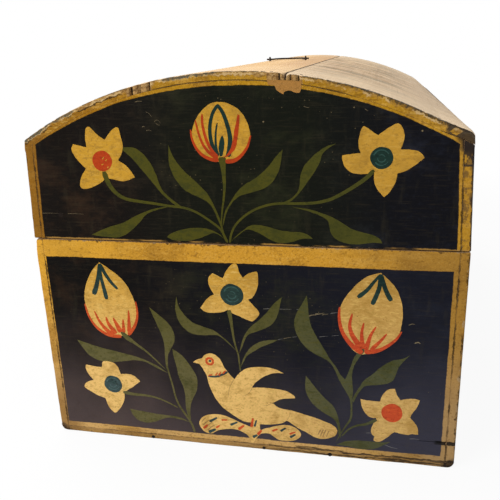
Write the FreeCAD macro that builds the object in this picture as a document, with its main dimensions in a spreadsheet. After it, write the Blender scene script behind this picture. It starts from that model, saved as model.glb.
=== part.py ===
import FreeCAD, Part
import math
import operator
import os
import Sketcher

# Dome-topped trunk of thin nailed boards with iron wire fittings and a box lock.
# X runs along the trunk, -Y is the front with the lock, +Z is up.
# The origin is the centre of the underside of the bottom board.

SIZES = {
    # Base
    "trunk_length": 435,
    "trunk_width": 270,
    "base_height": 144,
    "bottom_thickness": 4,
    "side_thickness": 5.5,
    "end_thickness": 9,
    "end_strip_height": 14,
    "board_gap": 0.4,
    # Lid
    "lid_wall_height": 63.5,
    "lid_lean": 2.6,
    "dome_rise": 38,
    "top_thickness": 5,
    "top_joint_offset": 31,
    # Nails
    "nail_shank_radius": 0.7,
    "nail_head_radius": 1.9,
    "nail_head_height": 0.7,
    "nail_head_flat": 0.9,
    "nail_length": 16,
    "nail_point": 2.1,
    "nail_margin": 16,
    "bottom_nail_margin": 48,
    "eave_nail_margin": 32,
    "joint_nail_margin": 8,
    "corner_nail_count": 4,
    "lid_corner_nail_count": 3,
    "bottom_nail_count": 5,
    "front_nail_count": 5,
    "back_nail_count": 3,
    "eave_nail_count": 5,
    # Wire hinges
    "hinge_inset": 72.5,
    "hinge_drop": 5,
    "hinge_wire_radius": 1,
    "hinge_play": 0.35,
    "hinge_staple_width": 14,
    "hinge_eye_rise": 9,
    "wire_bend": 2,
    "wire_clinch": 7,
    # Wire bail on the top
    "bail_wire_radius": 0.7,
    "bail_width": 26,
    "bail_depth": 18,
    "bail_bend": 8,
    "bail_pin_bend": 1.5,
    "bail_play": 0.3,
    "bail_pin_length": 5.5,
    "staple_wire_radius": 0.6,
    # Box lock
    "lock_width": 64,
    "lock_height": 40,
    "lock_depth": 14,
    "lock_wall": 1.2,
    "lock_top_gap": 1,
    "lock_flange": 9,
    "bolt_height": 7,
    "bolt_thickness": 4,
    "bolt_throw": 9,
    "bolt_play": 0.3,
    "bolt_end_gap": 4.6,
    "bolt_drop": 7.5,
    "bolt_notch": 2.3,
    "guide_length": 4,
    "guide_wall": 1.2,
    "guide_spacing": 17,
    "hasp_inset": 14.8,
    "hasp_width": 26,
    "hasp_height": 18,
    "hasp_thickness": 1.5,
    "hasp_gap": 1.5,
    "hasp_nail_height": 12,
    "hasp_nail_spacing": 16,
    "loop_thickness": 3,
    "loop_arm": 1.8,
    "loop_play": 0.7,
    "loop_bar": 2.2,
    "pin_length": 5,
    # Keyhole plate
    "keyhole_radius": 1.9,
    "keyhole_slot_width": 2,
    "keyhole_slot_length": 7,
    "keyhole_depth": 24,
    "plate_width": 26,
    "plate_height": 38,
    "plate_point": 7,
    "plate_thickness": 0.8,
    "plate_drop": 2.5,
    "plate_pin_inset": 4,
}

doc = FreeCAD.newDocument("painted_trunk")
sheet = doc.addObject("Spreadsheet::Sheet", "Sizes")
for row, (size_name, number) in enumerate(SIZES.items(), start=1):
    sheet.set(f"A{row}", size_name)
    sheet.set(f"B{row}", str(number))
    sheet.setAlias(f"B{row}", size_name)
doc.recompute()


class Dim:
    """A size that is known both as a number and as an expression on the sheet."""

    def __init__(self, value, text):
        self.value = value
        self.text = text

    def __add__(self, other):
        return combine(operator.add, "+", self, other)

    def __radd__(self, other):
        return combine(operator.add, "+", other, self)

    def __sub__(self, other):
        return combine(operator.sub, "-", self, other)

    def __rsub__(self, other):
        return combine(operator.sub, "-", other, self)

    def __mul__(self, other):
        return combine(operator.mul, "*", self, other)

    def __rmul__(self, other):
        return combine(operator.mul, "*", other, self)

    def __truediv__(self, other):
        return combine(operator.truediv, "/", self, other)

    def __neg__(self):
        return combine(operator.mul, "*", -1, self)


def as_dim(number):
    if isinstance(number, Dim):
        return number
    return Dim(float(number), f"({float(number)!r})")


def combine(operation, sign, left, right):
    left = as_dim(left)
    right = as_dim(right)
    return Dim(operation(left.value, right.value), f"({left.text} {sign} {right.text})")


def size(name):
    return Dim(float(getattr(sheet, name)), f"Sizes.{name}")


def count(name):
    return int(getattr(sheet, name))


def spread(low, high, number):
    """Evenly spaced values from low to high."""
    step = (high - low) / max(number - 1, 1)
    return [low + step * index for index in range(number)]


def place(piece, corner):
    for axis, distance in zip("xyz", corner):
        piece.setExpression(f"Placement.Base.{axis}", as_dim(distance).text)


def box(name, corner, extent):
    """A block from its lowest corner and its extents along X, Y and Z."""
    block = doc.addObject("Part::Box", name)
    for side, length in zip(("Length", "Width", "Height"), extent):
        block.setExpression(side, as_dim(length).text)
    place(block, corner)
    return block


def cylinder(name, start, direction, radius, length):
    rod = doc.addObject("Part::Cylinder", name)
    rod.setExpression("Radius", as_dim(radius).text)
    rod.setExpression("Height", as_dim(length).text)
    turn = FreeCAD.Rotation(FreeCAD.Vector(0, 0, 1), FreeCAD.Vector(*direction))
    rod.Placement = FreeCAD.Placement(FreeCAD.Vector(), turn)
    place(rod, start)
    return rod


def boolean(kind, name, base, tool):
    result = doc.addObject(f"Part::{kind}", name)
    result.Base = base
    result.Tool = tool
    return result


def new_sketch(body, plane, name, offset):
    """A sketch on one of the body's own origin planes, moved along that plane's normal."""
    sketch = body.newObject("Sketcher::SketchObject", name)
    support = next(item for item in body.Origin.OriginFeatures if item.Role == plane)
    sketch.AttachmentSupport = [(support, "")]
    sketch.MapMode = "FlatFace"
    sketch.setExpression("AttachmentOffset.Base.z", as_dim(offset).text)
    return sketch


def bind_constraint(sketch, kind, where, dim):
    index = sketch.addConstraint(Sketcher.Constraint(kind, *where, dim.value))
    sketch.setExpression(f"Constraints[{index}]", dim.text)


def pin_point(sketch, edge, end, point):
    """Ties one end of a sketch edge to its two coordinates."""
    horizontal_axis = -1
    vertical_axis = -2
    along, up = (as_dim(distance) for distance in point)
    if along.value == 0:
        sketch.addConstraint(Sketcher.Constraint("PointOnObject", edge, end, vertical_axis))
    else:
        bind_constraint(sketch, "DistanceX", (edge, end), along)
    if up.value == 0:
        sketch.addConstraint(Sketcher.Constraint("PointOnObject", edge, end, horizontal_axis))
    else:
        bind_constraint(sketch, "DistanceY", (edge, end), up)


def flat_vector(point):
    along, up = (as_dim(distance).value for distance in point)
    return FreeCAD.Vector(along, up, 0)


def prism(name, plane, offset, outline, length):
    """A straight-sided outline padded along its plane's normal."""
    body = doc.addObject("PartDesign::Body", name)
    sketch = new_sketch(body, plane, f"{name}_outline", offset)
    edges = []
    for index, point in enumerate(outline):
        following = outline[(index + 1) % len(outline)]
        line = Part.LineSegment(flat_vector(point), flat_vector(following))
        edges.append(sketch.addGeometry(line))
    for index, edge in enumerate(edges):
        following = edges[(index + 1) % len(edges)]
        sketch.addConstraint(Sketcher.Constraint("Coincident", edge, 2, following, 1))
        pin_point(sketch, edge, 1, outline[index])
    pad = body.newObject("PartDesign::Pad", f"{name}_pad")
    pad.Profile = sketch
    pad.setExpression("Length", as_dim(length).text)
    return body


def direction(start, end):
    """The unit step from one corner to the next along a sketch axis."""
    step = flat_vector(end) - flat_vector(start)
    step.normalize()
    return round(step.x), round(step.y)


def shifted(point, step, distance):
    return point[0] + step[0] * distance, point[1] + step[1] * distance


def add_arc(sketch, start, end, clockwise, radius, long_way=False):
    """A round bend between two points, tied to its radius. Returns the edge and its two end numbers."""
    first, last = (end, start) if clockwise else (start, end)
    first_point = flat_vector(first)
    last_point = flat_vector(last)
    chord = last_point - first_point
    lift = math.sqrt(max(radius.value ** 2 - (chord.Length / 2) ** 2, 0))
    inward = FreeCAD.Vector(-chord.y, chord.x, 0).normalize()
    if long_way:
        lift = -lift
    centre = (first_point + last_point) * 0.5 + inward * lift
    angles = [math.atan2(spot.y - centre.y, spot.x - centre.x) for spot in (first_point, last_point)]
    circle = Part.Circle(centre, FreeCAD.Vector(0, 0, 1), radius.value)
    edge = sketch.addGeometry(Part.ArcOfCircle(circle, angles[0], angles[1]))
    bind_constraint(sketch, "Radius", (edge,), radius)
    return (edge, 2, 1) if clockwise else (edge, 1, 2)


def bent_wire(name, plane, offset, corners, bends, wire_radius, profile_plane, profile_sign, ring_end=None):
    """Round wire along a path of square corners with round bends.

    The path may begin with three quarters of a ring that ends at ring_end. The wire's round section
    stands at the path's first point, on profile_plane, whose normal points along profile_sign.
    """
    body = doc.addObject("PartDesign::Body", name)
    path = new_sketch(body, plane, f"{name}_path", offset)
    turns = [direction(corners[index], corners[index + 1]) for index in range(len(corners) - 1)]
    starts = [corners[0]]
    ends = []
    for index, bend in enumerate(bends, start=1):
        ends.append(shifted(corners[index], turns[index - 1], -bend))
        starts.append(shifted(corners[index], turns[index], bend))
    ends.append(corners[-1])
    first_point = corners[0]
    if ring_end is not None:
        first_point = ring_end
        ring_radius = ring_end[0] - corners[0][0]
        ring, ring_stop, ring_start = add_arc(path, ring_end, corners[0], True, ring_radius, long_way=True)
        pin_point(path, ring, ring_stop, ring_end)
    lines = []
    for start, end in zip(starts, ends):
        line = path.addGeometry(Part.LineSegment(flat_vector(start), flat_vector(end)))
        pin_point(path, line, 1, start)
        pin_point(path, line, 2, end)
        lines.append(line)
    if ring_end is not None:
        path.addConstraint(Sketcher.Constraint("Coincident", ring, ring_start, lines[0], 1))
    for index, bend in enumerate(bends):
        incoming, outgoing = turns[index], turns[index + 1]
        clockwise = incoming[0] * outgoing[1] - incoming[1] * outgoing[0] < 0
        arc, arc_start, arc_end = add_arc(path, ends[index], starts[index + 1], clockwise, bend)
        path.addConstraint(Sketcher.Constraint("Coincident", lines[index], 2, arc, arc_start))
        path.addConstraint(Sketcher.Constraint("Coincident", arc, arc_end, lines[index + 1], 1))
    spots = {"XY_Plane": (0, 1, None), "YZ_Plane": (None, 0, 1), "XZ_Plane": (0, None, 1)}
    normal_signs = {"XY_Plane": 1, "YZ_Plane": 1, "XZ_Plane": -1}
    place_by_axis = [None, None, None]
    for axis, slot in enumerate(spots[plane]):
        if slot is None:
            place_by_axis[axis] = as_dim(offset) * normal_signs[plane]
        else:
            place_by_axis[axis] = as_dim(first_point[slot])
    across = spots[profile_plane].index(None)
    section = new_sketch(body, profile_plane, f"{name}_section", place_by_axis[across] * profile_sign)
    middle = [place_by_axis[axis] for axis in range(3) if axis != across]
    circle = Part.Circle(flat_vector(middle), FreeCAD.Vector(0, 0, 1), wire_radius.value)
    round_edge = section.addGeometry(circle)
    bind_constraint(section, "Radius", (round_edge,), wire_radius)
    pin_point(section, round_edge, 3, middle)
    sweep = body.newObject("PartDesign::AdditivePipe", f"{name}_sweep")
    sweep.Profile = section
    sweep.Spine = path
    return body


def nail_solid(head_top, inward, length):
    """One hand-made nail with a flattened cone head and a pointed shank."""
    head_height = float(sheet.nail_head_height)
    shank_radius = float(sheet.nail_shank_radius)
    outline = [
        (0, 0),
        (float(sheet.nail_head_flat), 0),
        (float(sheet.nail_head_radius), -head_height),
        (shank_radius, -head_height),
        (shank_radius, float(sheet.nail_point) - length),
        (0, -length),
        (0, 0),
    ]
    profile = Part.makePolygon([FreeCAD.Vector(radius, 0, depth) for radius, depth in outline])
    solid = Part.Face(profile).revolve(FreeCAD.Vector(), FreeCAD.Vector(0, 0, 1), 360)
    turn = FreeCAD.Rotation(FreeCAD.Vector(0, 0, -1), FreeCAD.Vector(*inward))
    solid.Placement = FreeCAD.Placement(FreeCAD.Vector(*head_top), turn)
    return solid


def nails(name, spots, length):
    """A group of separate nails, each given as the top of its head and its driving direction."""
    group = doc.addObject("Part::Feature", name)
    group.Shape = Part.Compound([nail_solid(head_top, inward, length) for head_top, inward in spots])
    return group


pieces = []

# Base: the sides cover the ends, and the bottom is nailed under all four
half_length = size("trunk_length") / 2
half_width = size("trunk_width") / 2
seam = size("base_height")
wall = size("side_thickness")
end_wall = size("end_thickness")
floor = size("bottom_thickness")
inner_half_width = half_width - wall
inner_half_length = half_length - end_wall
side_height = seam - floor

pieces.append(box("bottom_board", (-half_length, -half_width, 0), (2 * half_length, 2 * half_width, floor)))

keyhole_height = seam - size("keyhole_depth")
keyhole_radius = size("keyhole_radius")
slot_half_width = size("keyhole_slot_width") / 2


def keyhole_cut(name, board, face, depth):
    """Cuts a round hole with a slot under it through a board that starts at face and runs along +Y."""
    hole = cylinder(f"{name}_round", (0, face, keyhole_height), (0, 1, 0), keyhole_radius, depth)
    slot_bottom = keyhole_height - size("keyhole_slot_length")
    slot_extent = (2 * slot_half_width, depth, size("keyhole_slot_length"))
    slot = box(f"{name}_slot", (-slot_half_width, face, slot_bottom), slot_extent)
    opening = boolean("Fuse", f"{name}_opening", hole, slot)
    return boolean("Cut", name, board, opening)


side_extent = (2 * half_length, wall, side_height)
front_blank = box("base_front_blank", (-half_length, -half_width, floor), side_extent)
pieces.append(keyhole_cut("base_front_board", front_blank, -half_width, wall))
pieces.append(box("base_back_board", (-half_length, inner_half_width, floor), side_extent))

end_extent = (end_wall, 2 * inner_half_width, side_height)
pieces.append(box("base_left_end_board", (-half_length, -inner_half_width, floor), end_extent))
strip = size("end_strip_height")
strip_extent = (end_wall, 2 * inner_half_width, strip)
pieces.append(box("base_right_end_strip", (inner_half_length, -inner_half_width, floor), strip_extent))
upper_bottom = floor + strip + size("board_gap")
upper_extent = (end_wall, 2 * inner_half_width, seam - upper_bottom)
pieces.append(box("base_right_end_board", (inner_half_length, -inner_half_width, upper_bottom), upper_extent))

# Lid: leaning sides and arched ends under two bent boards that follow one round arch
lid_wall = size("lid_wall_height")
lean = size("lid_lean")
rise = size("dome_rise")
eave_half_width = half_width - lean
dome_radius = (eave_half_width * eave_half_width + rise * rise) / (2 * rise)
dome_top = seam + lid_wall + rise
dome_centre = dome_top - dome_radius
top_thickness = size("top_thickness")
under_radius = dome_radius - top_thickness
lean_at_top = lean * (lid_wall + rise) / lid_wall

dome_axis = (-half_length, 0, dome_centre)
dome_outside = cylinder("dome_outside", dome_axis, (1, 0, 0), dome_radius, 2 * half_length)
dome_inside = cylinder("dome_inside", dome_axis, (1, 0, 0), under_radius, 2 * half_length)


def lid_side(name, facing):
    """A leaning side board whose upper edge is planed to the dome's underside."""
    outline = [
        (facing * half_width, seam),
        (facing * inner_half_width, seam),
        (facing * (inner_half_width - lean_at_top), dome_top),
        (facing * (half_width - lean_at_top), dome_top),
    ]
    blank = prism(f"{name}_blank", "YZ_Plane", -half_length, outline, 2 * half_length)
    return boolean("Common", name, blank, dome_inside)


def lid_end(name, start):
    """An end board between the sides, with its arched upper edge under the top boards."""
    outline = [
        (-inner_half_width, seam),
        (inner_half_width, seam),
        (inner_half_width - lean_at_top, dome_top),
        (lean_at_top - inner_half_width, dome_top),
    ]
    blank = prism(f"{name}_blank", "YZ_Plane", start, outline, end_wall)
    return boolean("Common", name, blank, dome_inside)


def top_board(name, facing, joint_edge):
    """A bent board from the joint to one eave, flush with the leaning side below it."""
    outline = [
        (facing * half_width, seam),
        (joint_edge, seam),
        (joint_edge, dome_top),
        (facing * (half_width - lean_at_top), dome_top),
    ]
    blank = prism(f"{name}_blank", "YZ_Plane", -half_length, outline, 2 * half_length)
    bent = boolean("Common", f"{name}_bent", blank, dome_outside)
    return boolean("Cut", name, bent, dome_inside)


pieces.append(lid_side("lid_front_board", -1))
pieces.append(lid_side("lid_back_board", 1))
pieces.append(lid_end("lid_left_end_board", -half_length))
pieces.append(lid_end("lid_right_end_board", inner_half_length))
joint = size("top_joint_offset")
half_gap = size("board_gap") / 2
pieces.append(top_board("lid_top_front_board", -1, joint - half_gap))
pieces.append(top_board("lid_top_back_board", 1, joint + half_gap))

# Nails: through the sides into the ends, through the bottom into the walls, through the top into both
head = size("nail_head_height").value
nail_length = size("nail_length").value
margin = size("nail_margin").value
nail_x = (half_length - end_wall / 2).value
low = floor.value + margin
corner_heights = spread(low, seam.value - margin, count("corner_nail_count"))
corner_spots = [
    ((end * nail_x, facing * (half_width.value + head), height), (0, -facing, 0))
    for end in (-1, 1)
    for facing in (-1, 1)
    for height in corner_heights
]
pieces.append(nails("base_corner_nails", corner_spots, nail_length))

bottom_across = spread(margin - half_width.value, half_width.value - margin, count("bottom_nail_count"))
bottom_reach = half_length.value - size("bottom_nail_margin").value
bottom_along = spread(-bottom_reach, bottom_reach, count("bottom_nail_count"))
nail_y = (half_width - wall / 2).value
bottom_spots = [((end * nail_x, across, 0), (0, 0, 1)) for end in (-1, 1) for across in bottom_across]
bottom_spots += [((along, facing * nail_y, 0), (0, 0, 1)) for facing in (-1, 1) for along in bottom_along]
pieces.append(nails("bottom_nails", bottom_spots, nail_length))

lean_angle = math.atan2(lean.value, lid_wall.value)
lid_heights = spread(margin, lid_wall.value - margin, count("lid_corner_nail_count"))


def lid_face(height):
    """Distance of the lid side's outer face from the middle, at a height above the seam."""
    return half_width.value - lean.value * height / lid_wall.value


lid_spots = [
    (
        (
            end * nail_x,
            facing * (lid_face(height) + head * math.cos(lean_angle)),
            seam.value + height + head * math.sin(lean_angle),
        ),
        (0, -facing * math.cos(lean_angle), -math.sin(lean_angle)),
    )
    for end in (-1, 1)
    for facing in (-1, 1)
    for height in lid_heights
]
pieces.append(nails("lid_corner_nails", lid_spots, nail_length))


def dome_spot(along, across, sink_along_wall):
    """A nail head on the dome, driven square to the dome or straight down into a side board."""
    angle = math.asin(across / dome_radius.value)
    outward = (0, math.sin(angle), math.cos(angle))
    reach = dome_radius.value + head
    top = (along, reach * outward[1], dome_centre.value + reach * outward[2])
    lean_side = math.copysign(math.sin(lean_angle), across)
    down = (0, lean_side, -math.cos(lean_angle))
    return top, down if sink_along_wall else (0, -outward[1], -outward[2])


eave = eave_half_width.value - wall.value / 2
arch_edge = eave - margin
joint_margin = size("joint_nail_margin").value
front_arch = spread(-arch_edge, joint.value - joint_margin, count("front_nail_count"))
back_arch = spread(joint.value + joint_margin, arch_edge, count("back_nail_count"))
arch_spots = [dome_spot(end * nail_x, across, False) for end in (-1, 1) for across in front_arch + back_arch]
eave_reach = half_length.value - size("eave_nail_margin").value
eave_along = spread(-eave_reach, eave_reach, count("eave_nail_count"))
arch_spots += [dome_spot(along, facing * eave, True) for facing in (-1, 1) for along in eave_along]
pieces.append(nails("lid_top_nails", arch_spots, nail_length))

# Wire hinges: a staple in the base's back, and an eye in the lid's back that turns on its cross wire
wire = size("hinge_wire_radius")
eye_radius = 2 * wire + size("hinge_play")
pivot_y = half_width + eye_radius + wire + size("hinge_play")
pivot_z = seam - size("hinge_drop")
clinch = size("wire_clinch")
bend = size("wire_bend")
staple_half = size("hinge_staple_width") / 2
inside_y = inner_half_width - wire
eye_top = seam + size("hinge_eye_rise")
eye_bottom = eye_top - clinch
lid_inside_y = inner_half_width - lean * size("hinge_eye_rise") / lid_wall - wire
shank_y = pivot_y - eye_radius

for side_name, side in (("left", -1), ("right", 1)):
    hinge_x = side * (half_length - size("hinge_inset"))
    staple_corners = [
        (hinge_x - staple_half - clinch, inside_y),
        (hinge_x - staple_half, inside_y),
        (hinge_x - staple_half, pivot_y),
        (hinge_x + staple_half, pivot_y),
        (hinge_x + staple_half, inside_y),
        (hinge_x + staple_half + clinch, inside_y),
    ]
    hinge_staple = f"hinge_staple_{side_name}"
    four_bends = [bend] * 4
    pieces.append(
        bent_wire(hinge_staple, "XY_Plane", pivot_z, staple_corners, four_bends, wire, "YZ_Plane", 1)
    )
    eye_corners = [
        (shank_y, pivot_z),
        (shank_y, eye_top),
        (lid_inside_y, eye_top),
        (lid_inside_y, eye_bottom),
    ]
    ring_end = (pivot_y, pivot_z + eye_radius)
    hinge_eye = f"hinge_eye_{side_name}"
    two_bends = [bend] * 2
    pieces.append(
        bent_wire(hinge_eye, "YZ_Plane", hinge_x, eye_corners, two_bends, wire, "XZ_Plane", -1, ring_end)
    )

# Wire bail on the middle of the top, lying flat, with a staple over each of its pins
bail_wire = size("bail_wire_radius")
staple_wire = size("staple_wire_radius")
bail_play = size("bail_play")
bail_z = dome_top + bail_wire + bail_play
bail_half = size("bail_width") / 2
pin_reach = bail_half + size("bail_pin_length")
bail_depth = size("bail_depth")
bail_corners = [
    (0, -pin_reach),
    (0, -bail_half),
    (-bail_depth, -bail_half),
    (-bail_depth, bail_half),
    (0, bail_half),
    (0, pin_reach),
]
bail_corners = [(as_dim(along), across) for along, across in bail_corners]
bail_bends = [size("bail_pin_bend"), size("bail_bend"), size("bail_bend"), size("bail_pin_bend")]
pieces.append(
    bent_wire("handle_bail", "XY_Plane", bail_z, bail_corners, bail_bends, bail_wire, "XZ_Plane", -1)
)

staple_span = bail_wire + bail_play + staple_wire
staple_bend = staple_span - bail_play
staple_y = bail_half + size("bail_pin_length") / 2
staple_inside = dome_top - top_thickness - 2 * staple_wire
staple_path = [
    (-staple_span - clinch, staple_inside),
    (-staple_span, staple_inside),
    (-staple_span, bail_z + staple_span),
    (staple_span, bail_z + staple_span),
    (staple_span, staple_inside),
    (staple_span + clinch, staple_inside),
]
staple_bends = [bend, staple_bend, staple_bend, bend]
for staple_name, side in (("handle_staple_front", -1), ("handle_staple_back", 1)):
    offset = -side * staple_y
    pieces.append(
        bent_wire(staple_name, "XZ_Plane", offset, staple_path, staple_bends, staple_wire, "YZ_Plane", 1)
    )

# Box lock: an open-backed iron case on the inside of the front board
lock_half = size("lock_width") / 2
lock_wall = size("lock_wall")
lock_top = seam - size("lock_top_gap")
lock_bottom = lock_top - size("lock_height")
case_front = -inner_half_width
case_depth = size("lock_depth")
flange = size("lock_flange")
loop_thickness = size("loop_thickness")
loop_play = size("loop_play")
bolt_thickness = size("bolt_thickness")
bolt_y = case_front + (case_depth - lock_wall) / 2
loop_half = bolt_thickness / 2 + loop_play + size("loop_arm")
hasp_x = lock_half - lock_wall - size("hasp_inset")

case_box = box(
    "lock_case_box",
    (-lock_half, case_front, lock_bottom),
    (2 * lock_half, case_depth, size("lock_height")),
)
case_flanges = box(
    "lock_case_flanges",
    (-lock_half - flange, case_front, lock_bottom),
    (2 * (lock_half + flange), lock_wall, size("lock_height")),
)
case_hollow = box(
    "lock_case_hollow",
    (lock_wall - lock_half, case_front, lock_bottom + lock_wall),
    (2 * (lock_half - lock_wall), case_depth - lock_wall, size("lock_height") - 2 * lock_wall),
)
slot_play = 2 * loop_play
case_slot = box(
    "lock_case_slot",
    (hasp_x - loop_thickness / 2 - slot_play, bolt_y - loop_half - slot_play, lock_top - lock_wall),
    (loop_thickness + 2 * slot_play, 2 * (loop_half + slot_play), lock_wall),
)
case_outside = boolean("Fuse", "lock_case_outside", case_box, case_flanges)
case_shell = boolean("Cut", "lock_case_shell", case_outside, case_hollow)
pieces.append(boolean("Cut", "lock_case", case_shell, case_slot))

pin_length = size("pin_length").value
flange_x = (lock_half + flange / 2).value
flange_low = lock_bottom.value + flange.value / 2
flange_high = lock_top.value - flange.value / 2
flange_face = (case_front + lock_wall).value + head
flange_spots = [
    ((side * flange_x, flange_face, height), (0, -1, 0))
    for side in (-1, 1)
    for height in (flange_low, flange_high)
]
pieces.append(nails("lock_case_nails", flange_spots, pin_length))

# Bolt, drawn back at rest, and the two guides that carry it on the case
bolt_height = size("bolt_height")
bolt_z = seam - size("bolt_drop")
bolt_play = size("bolt_play")
bolt_end = hasp_x - loop_thickness / 2 - loop_play
bolt_start = lock_wall + size("bolt_end_gap") - lock_half
bolt_bottom = bolt_z - bolt_height / 2
bolt_bar = box(
    "lock_bolt_bar",
    (bolt_start, bolt_y - bolt_thickness / 2, bolt_bottom),
    (bolt_end - bolt_start, bolt_thickness, bolt_height),
)
notch = box(
    "lock_bolt_notch",
    (-size("bolt_throw") / 2, bolt_y - bolt_thickness / 2, bolt_bottom),
    (size("bolt_throw"), bolt_thickness, size("bolt_notch")),
)
pieces.append(boolean("Cut", "lock_bolt", bolt_bar, notch))

guide_wall = size("guide_wall")
guide_length = size("guide_length")
guide_front = bolt_y - bolt_thickness / 2 - bolt_play - guide_wall
guide_back = case_front + case_depth - lock_wall
guide_half_height = bolt_height / 2 + bolt_play + guide_wall
for guide_name, side in (("lock_bolt_guide_left", -1), ("lock_bolt_guide_right", 1)):
    guide_start = (bolt_start + bolt_end) / 2 + side * size("guide_spacing") / 2 - guide_length / 2
    guide_block = box(
        f"{guide_name}_block",
        (guide_start, guide_front, bolt_z - guide_half_height),
        (guide_length, guide_back - guide_front, 2 * guide_half_height),
    )
    guide_channel = box(
        f"{guide_name}_channel",
        (guide_start, guide_front + guide_wall, bolt_bottom - bolt_play),
        (guide_length, bolt_thickness + 2 * bolt_play, bolt_height + 2 * bolt_play),
    )
    pieces.append(boolean("Cut", guide_name, guide_block, guide_channel))

# Hasp: a plate inside the lid front with a loop that drops into the lock for the bolt
hasp_thickness = size("hasp_thickness")
hasp_half = size("hasp_width") / 2
hasp_top = seam + size("hasp_height")
hasp_lean = lean * size("hasp_height") / lid_wall
shelf_back = bolt_y + loop_half
shelf_bottom = seam + size("hasp_gap")
shelf_top = shelf_bottom + hasp_thickness
shelf_lean = lean * (shelf_top - seam) / lid_wall
bottom_lean = lean * (shelf_bottom - seam) / lid_wall
hasp_outline = [
    (bottom_lean - inner_half_width, shelf_bottom),
    (shelf_back, shelf_bottom),
    (shelf_back, shelf_top),
    (shelf_lean + hasp_thickness - inner_half_width, shelf_top),
    (hasp_lean + hasp_thickness - inner_half_width, hasp_top),
    (hasp_lean - inner_half_width, hasp_top),
]
hasp_plate = prism("hasp_plate", "YZ_Plane", hasp_x - hasp_half, hasp_outline, 2 * hasp_half)
loop_bottom = bolt_bottom - loop_play - size("loop_bar")
loop_block = box(
    "hasp_loop_block",
    (hasp_x - loop_thickness / 2, bolt_y - loop_half, loop_bottom),
    (loop_thickness, 2 * loop_half, shelf_top - loop_bottom),
)
loop_eye = box(
    "hasp_loop_eye",
    (hasp_x - loop_thickness / 2, bolt_y - bolt_thickness / 2 - loop_play, bolt_bottom - loop_play),
    (loop_thickness, bolt_thickness + 2 * loop_play, bolt_height + 2 * loop_play),
)
hasp_loop = boolean("Cut", "hasp_loop", loop_block, loop_eye)
pieces.append(boolean("Fuse", "lock_hasp", hasp_plate, hasp_loop))

hasp_nail_height = size("hasp_nail_height").value
hasp_nail_reach = size("hasp_nail_spacing").value / 2
hasp_face = (lean * hasp_nail_height / lid_wall + hasp_thickness - inner_half_width).value
hasp_spots = [
    (
        (
            hasp_x.value + side * hasp_nail_reach,
            hasp_face + head * math.cos(lean_angle),
            seam.value + hasp_nail_height - head * math.sin(lean_angle),
        ),
        (0, -math.cos(lean_angle), math.sin(lean_angle)),
    )
    for side in (-1, 1)
]
pieces.append(nails("lock_hasp_nails", hasp_spots, pin_length))

# Keyhole plate: thin iron with a pointed head and foot, pinned over the keyhole
plate_half = size("plate_width") / 2
plate_point = size("plate_point")
plate_thickness = size("plate_thickness")
plate_middle = keyhole_height - size("plate_drop")
plate_top = plate_middle + size("plate_height") / 2
plate_bottom = plate_middle - size("plate_height") / 2
plate_outline = [
    (-plate_half, plate_bottom + plate_point),
    (0, plate_bottom),
    (plate_half, plate_bottom + plate_point),
    (plate_half, plate_top - plate_point),
    (0, plate_top),
    (-plate_half, plate_top - plate_point),
]
plate_blank = prism("keyhole_plate_blank", "XZ_Plane", half_width, plate_outline, plate_thickness)
pieces.append(keyhole_cut("keyhole_plate", plate_blank, -half_width - plate_thickness, plate_thickness))

pin_inset = size("plate_pin_inset").value
plate_pin_x = plate_half.value - pin_inset
plate_face = -(half_width + plate_thickness).value - head
plate_pin_heights = (
    (plate_bottom + plate_point).value + pin_inset,
    (plate_top - plate_point).value - pin_inset,
)
plate_spots = [
    ((side * plate_pin_x, plate_face, height), (0, 1, 0))
    for side in (-1, 1)
    for height in plate_pin_heights
]
pieces.append(nails("keyhole_plate_pins", plate_spots, pin_length))

doc.recompute()

for item in doc.Objects:
    if "Invalid" in item.State or "Error" in item.State:
        raise RuntimeError(f"{item.Name} did not build")
for piece in pieces:
    if piece.Shape.isNull() or not piece.Shape.isValid():
        raise RuntimeError(f"{piece.Label} has no valid shape")

os.makedirs("parts", exist_ok=True)
for piece in pieces:
    piece.Shape.exportStep(os.path.join("parts", f"{piece.Label}.step"))
    print(f"{piece.Label}: {len(piece.Shape.Solids)} solid, {piece.Shape.Volume:.1f} mm3")
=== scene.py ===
import math

import bmesh
import bpy
from mathutils import Matrix, Vector, noise
from mathutils.geometry import tessellate_polygon


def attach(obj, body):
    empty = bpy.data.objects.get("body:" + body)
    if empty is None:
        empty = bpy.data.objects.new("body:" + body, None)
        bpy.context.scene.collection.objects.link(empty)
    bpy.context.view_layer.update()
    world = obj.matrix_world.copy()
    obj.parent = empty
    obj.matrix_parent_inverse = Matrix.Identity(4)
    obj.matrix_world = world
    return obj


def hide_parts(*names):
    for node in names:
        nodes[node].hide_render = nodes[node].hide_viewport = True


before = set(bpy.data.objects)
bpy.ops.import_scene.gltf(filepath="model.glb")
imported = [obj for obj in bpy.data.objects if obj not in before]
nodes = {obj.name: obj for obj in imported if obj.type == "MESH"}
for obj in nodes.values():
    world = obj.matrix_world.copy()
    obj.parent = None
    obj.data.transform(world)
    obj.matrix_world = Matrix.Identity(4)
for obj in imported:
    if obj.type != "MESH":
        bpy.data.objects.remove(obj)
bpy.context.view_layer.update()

# Bottom board: one thin softwood board under the whole trunk, nailed up into the walls.
# It is bare below and inside. Its edge takes the last of the ochre border, and handling has
# rounded its corners.
MM = 0.001
half_length = 217.5
half_width = 135.0
seam = 144.0
bottom_thickness = 4.0
side_thickness = 5.5
end_thickness = 9.0
paint_room = 0.2  # the ends stand back by this much, so that the paint on them stays in the trunk's length
end_face = half_length - paint_room
inner_width = half_width - side_thickness
inner_length = half_length - end_thickness
arris_cuts = (0, 0.25, 0.6, 1.2, 2.2, 4)


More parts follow.
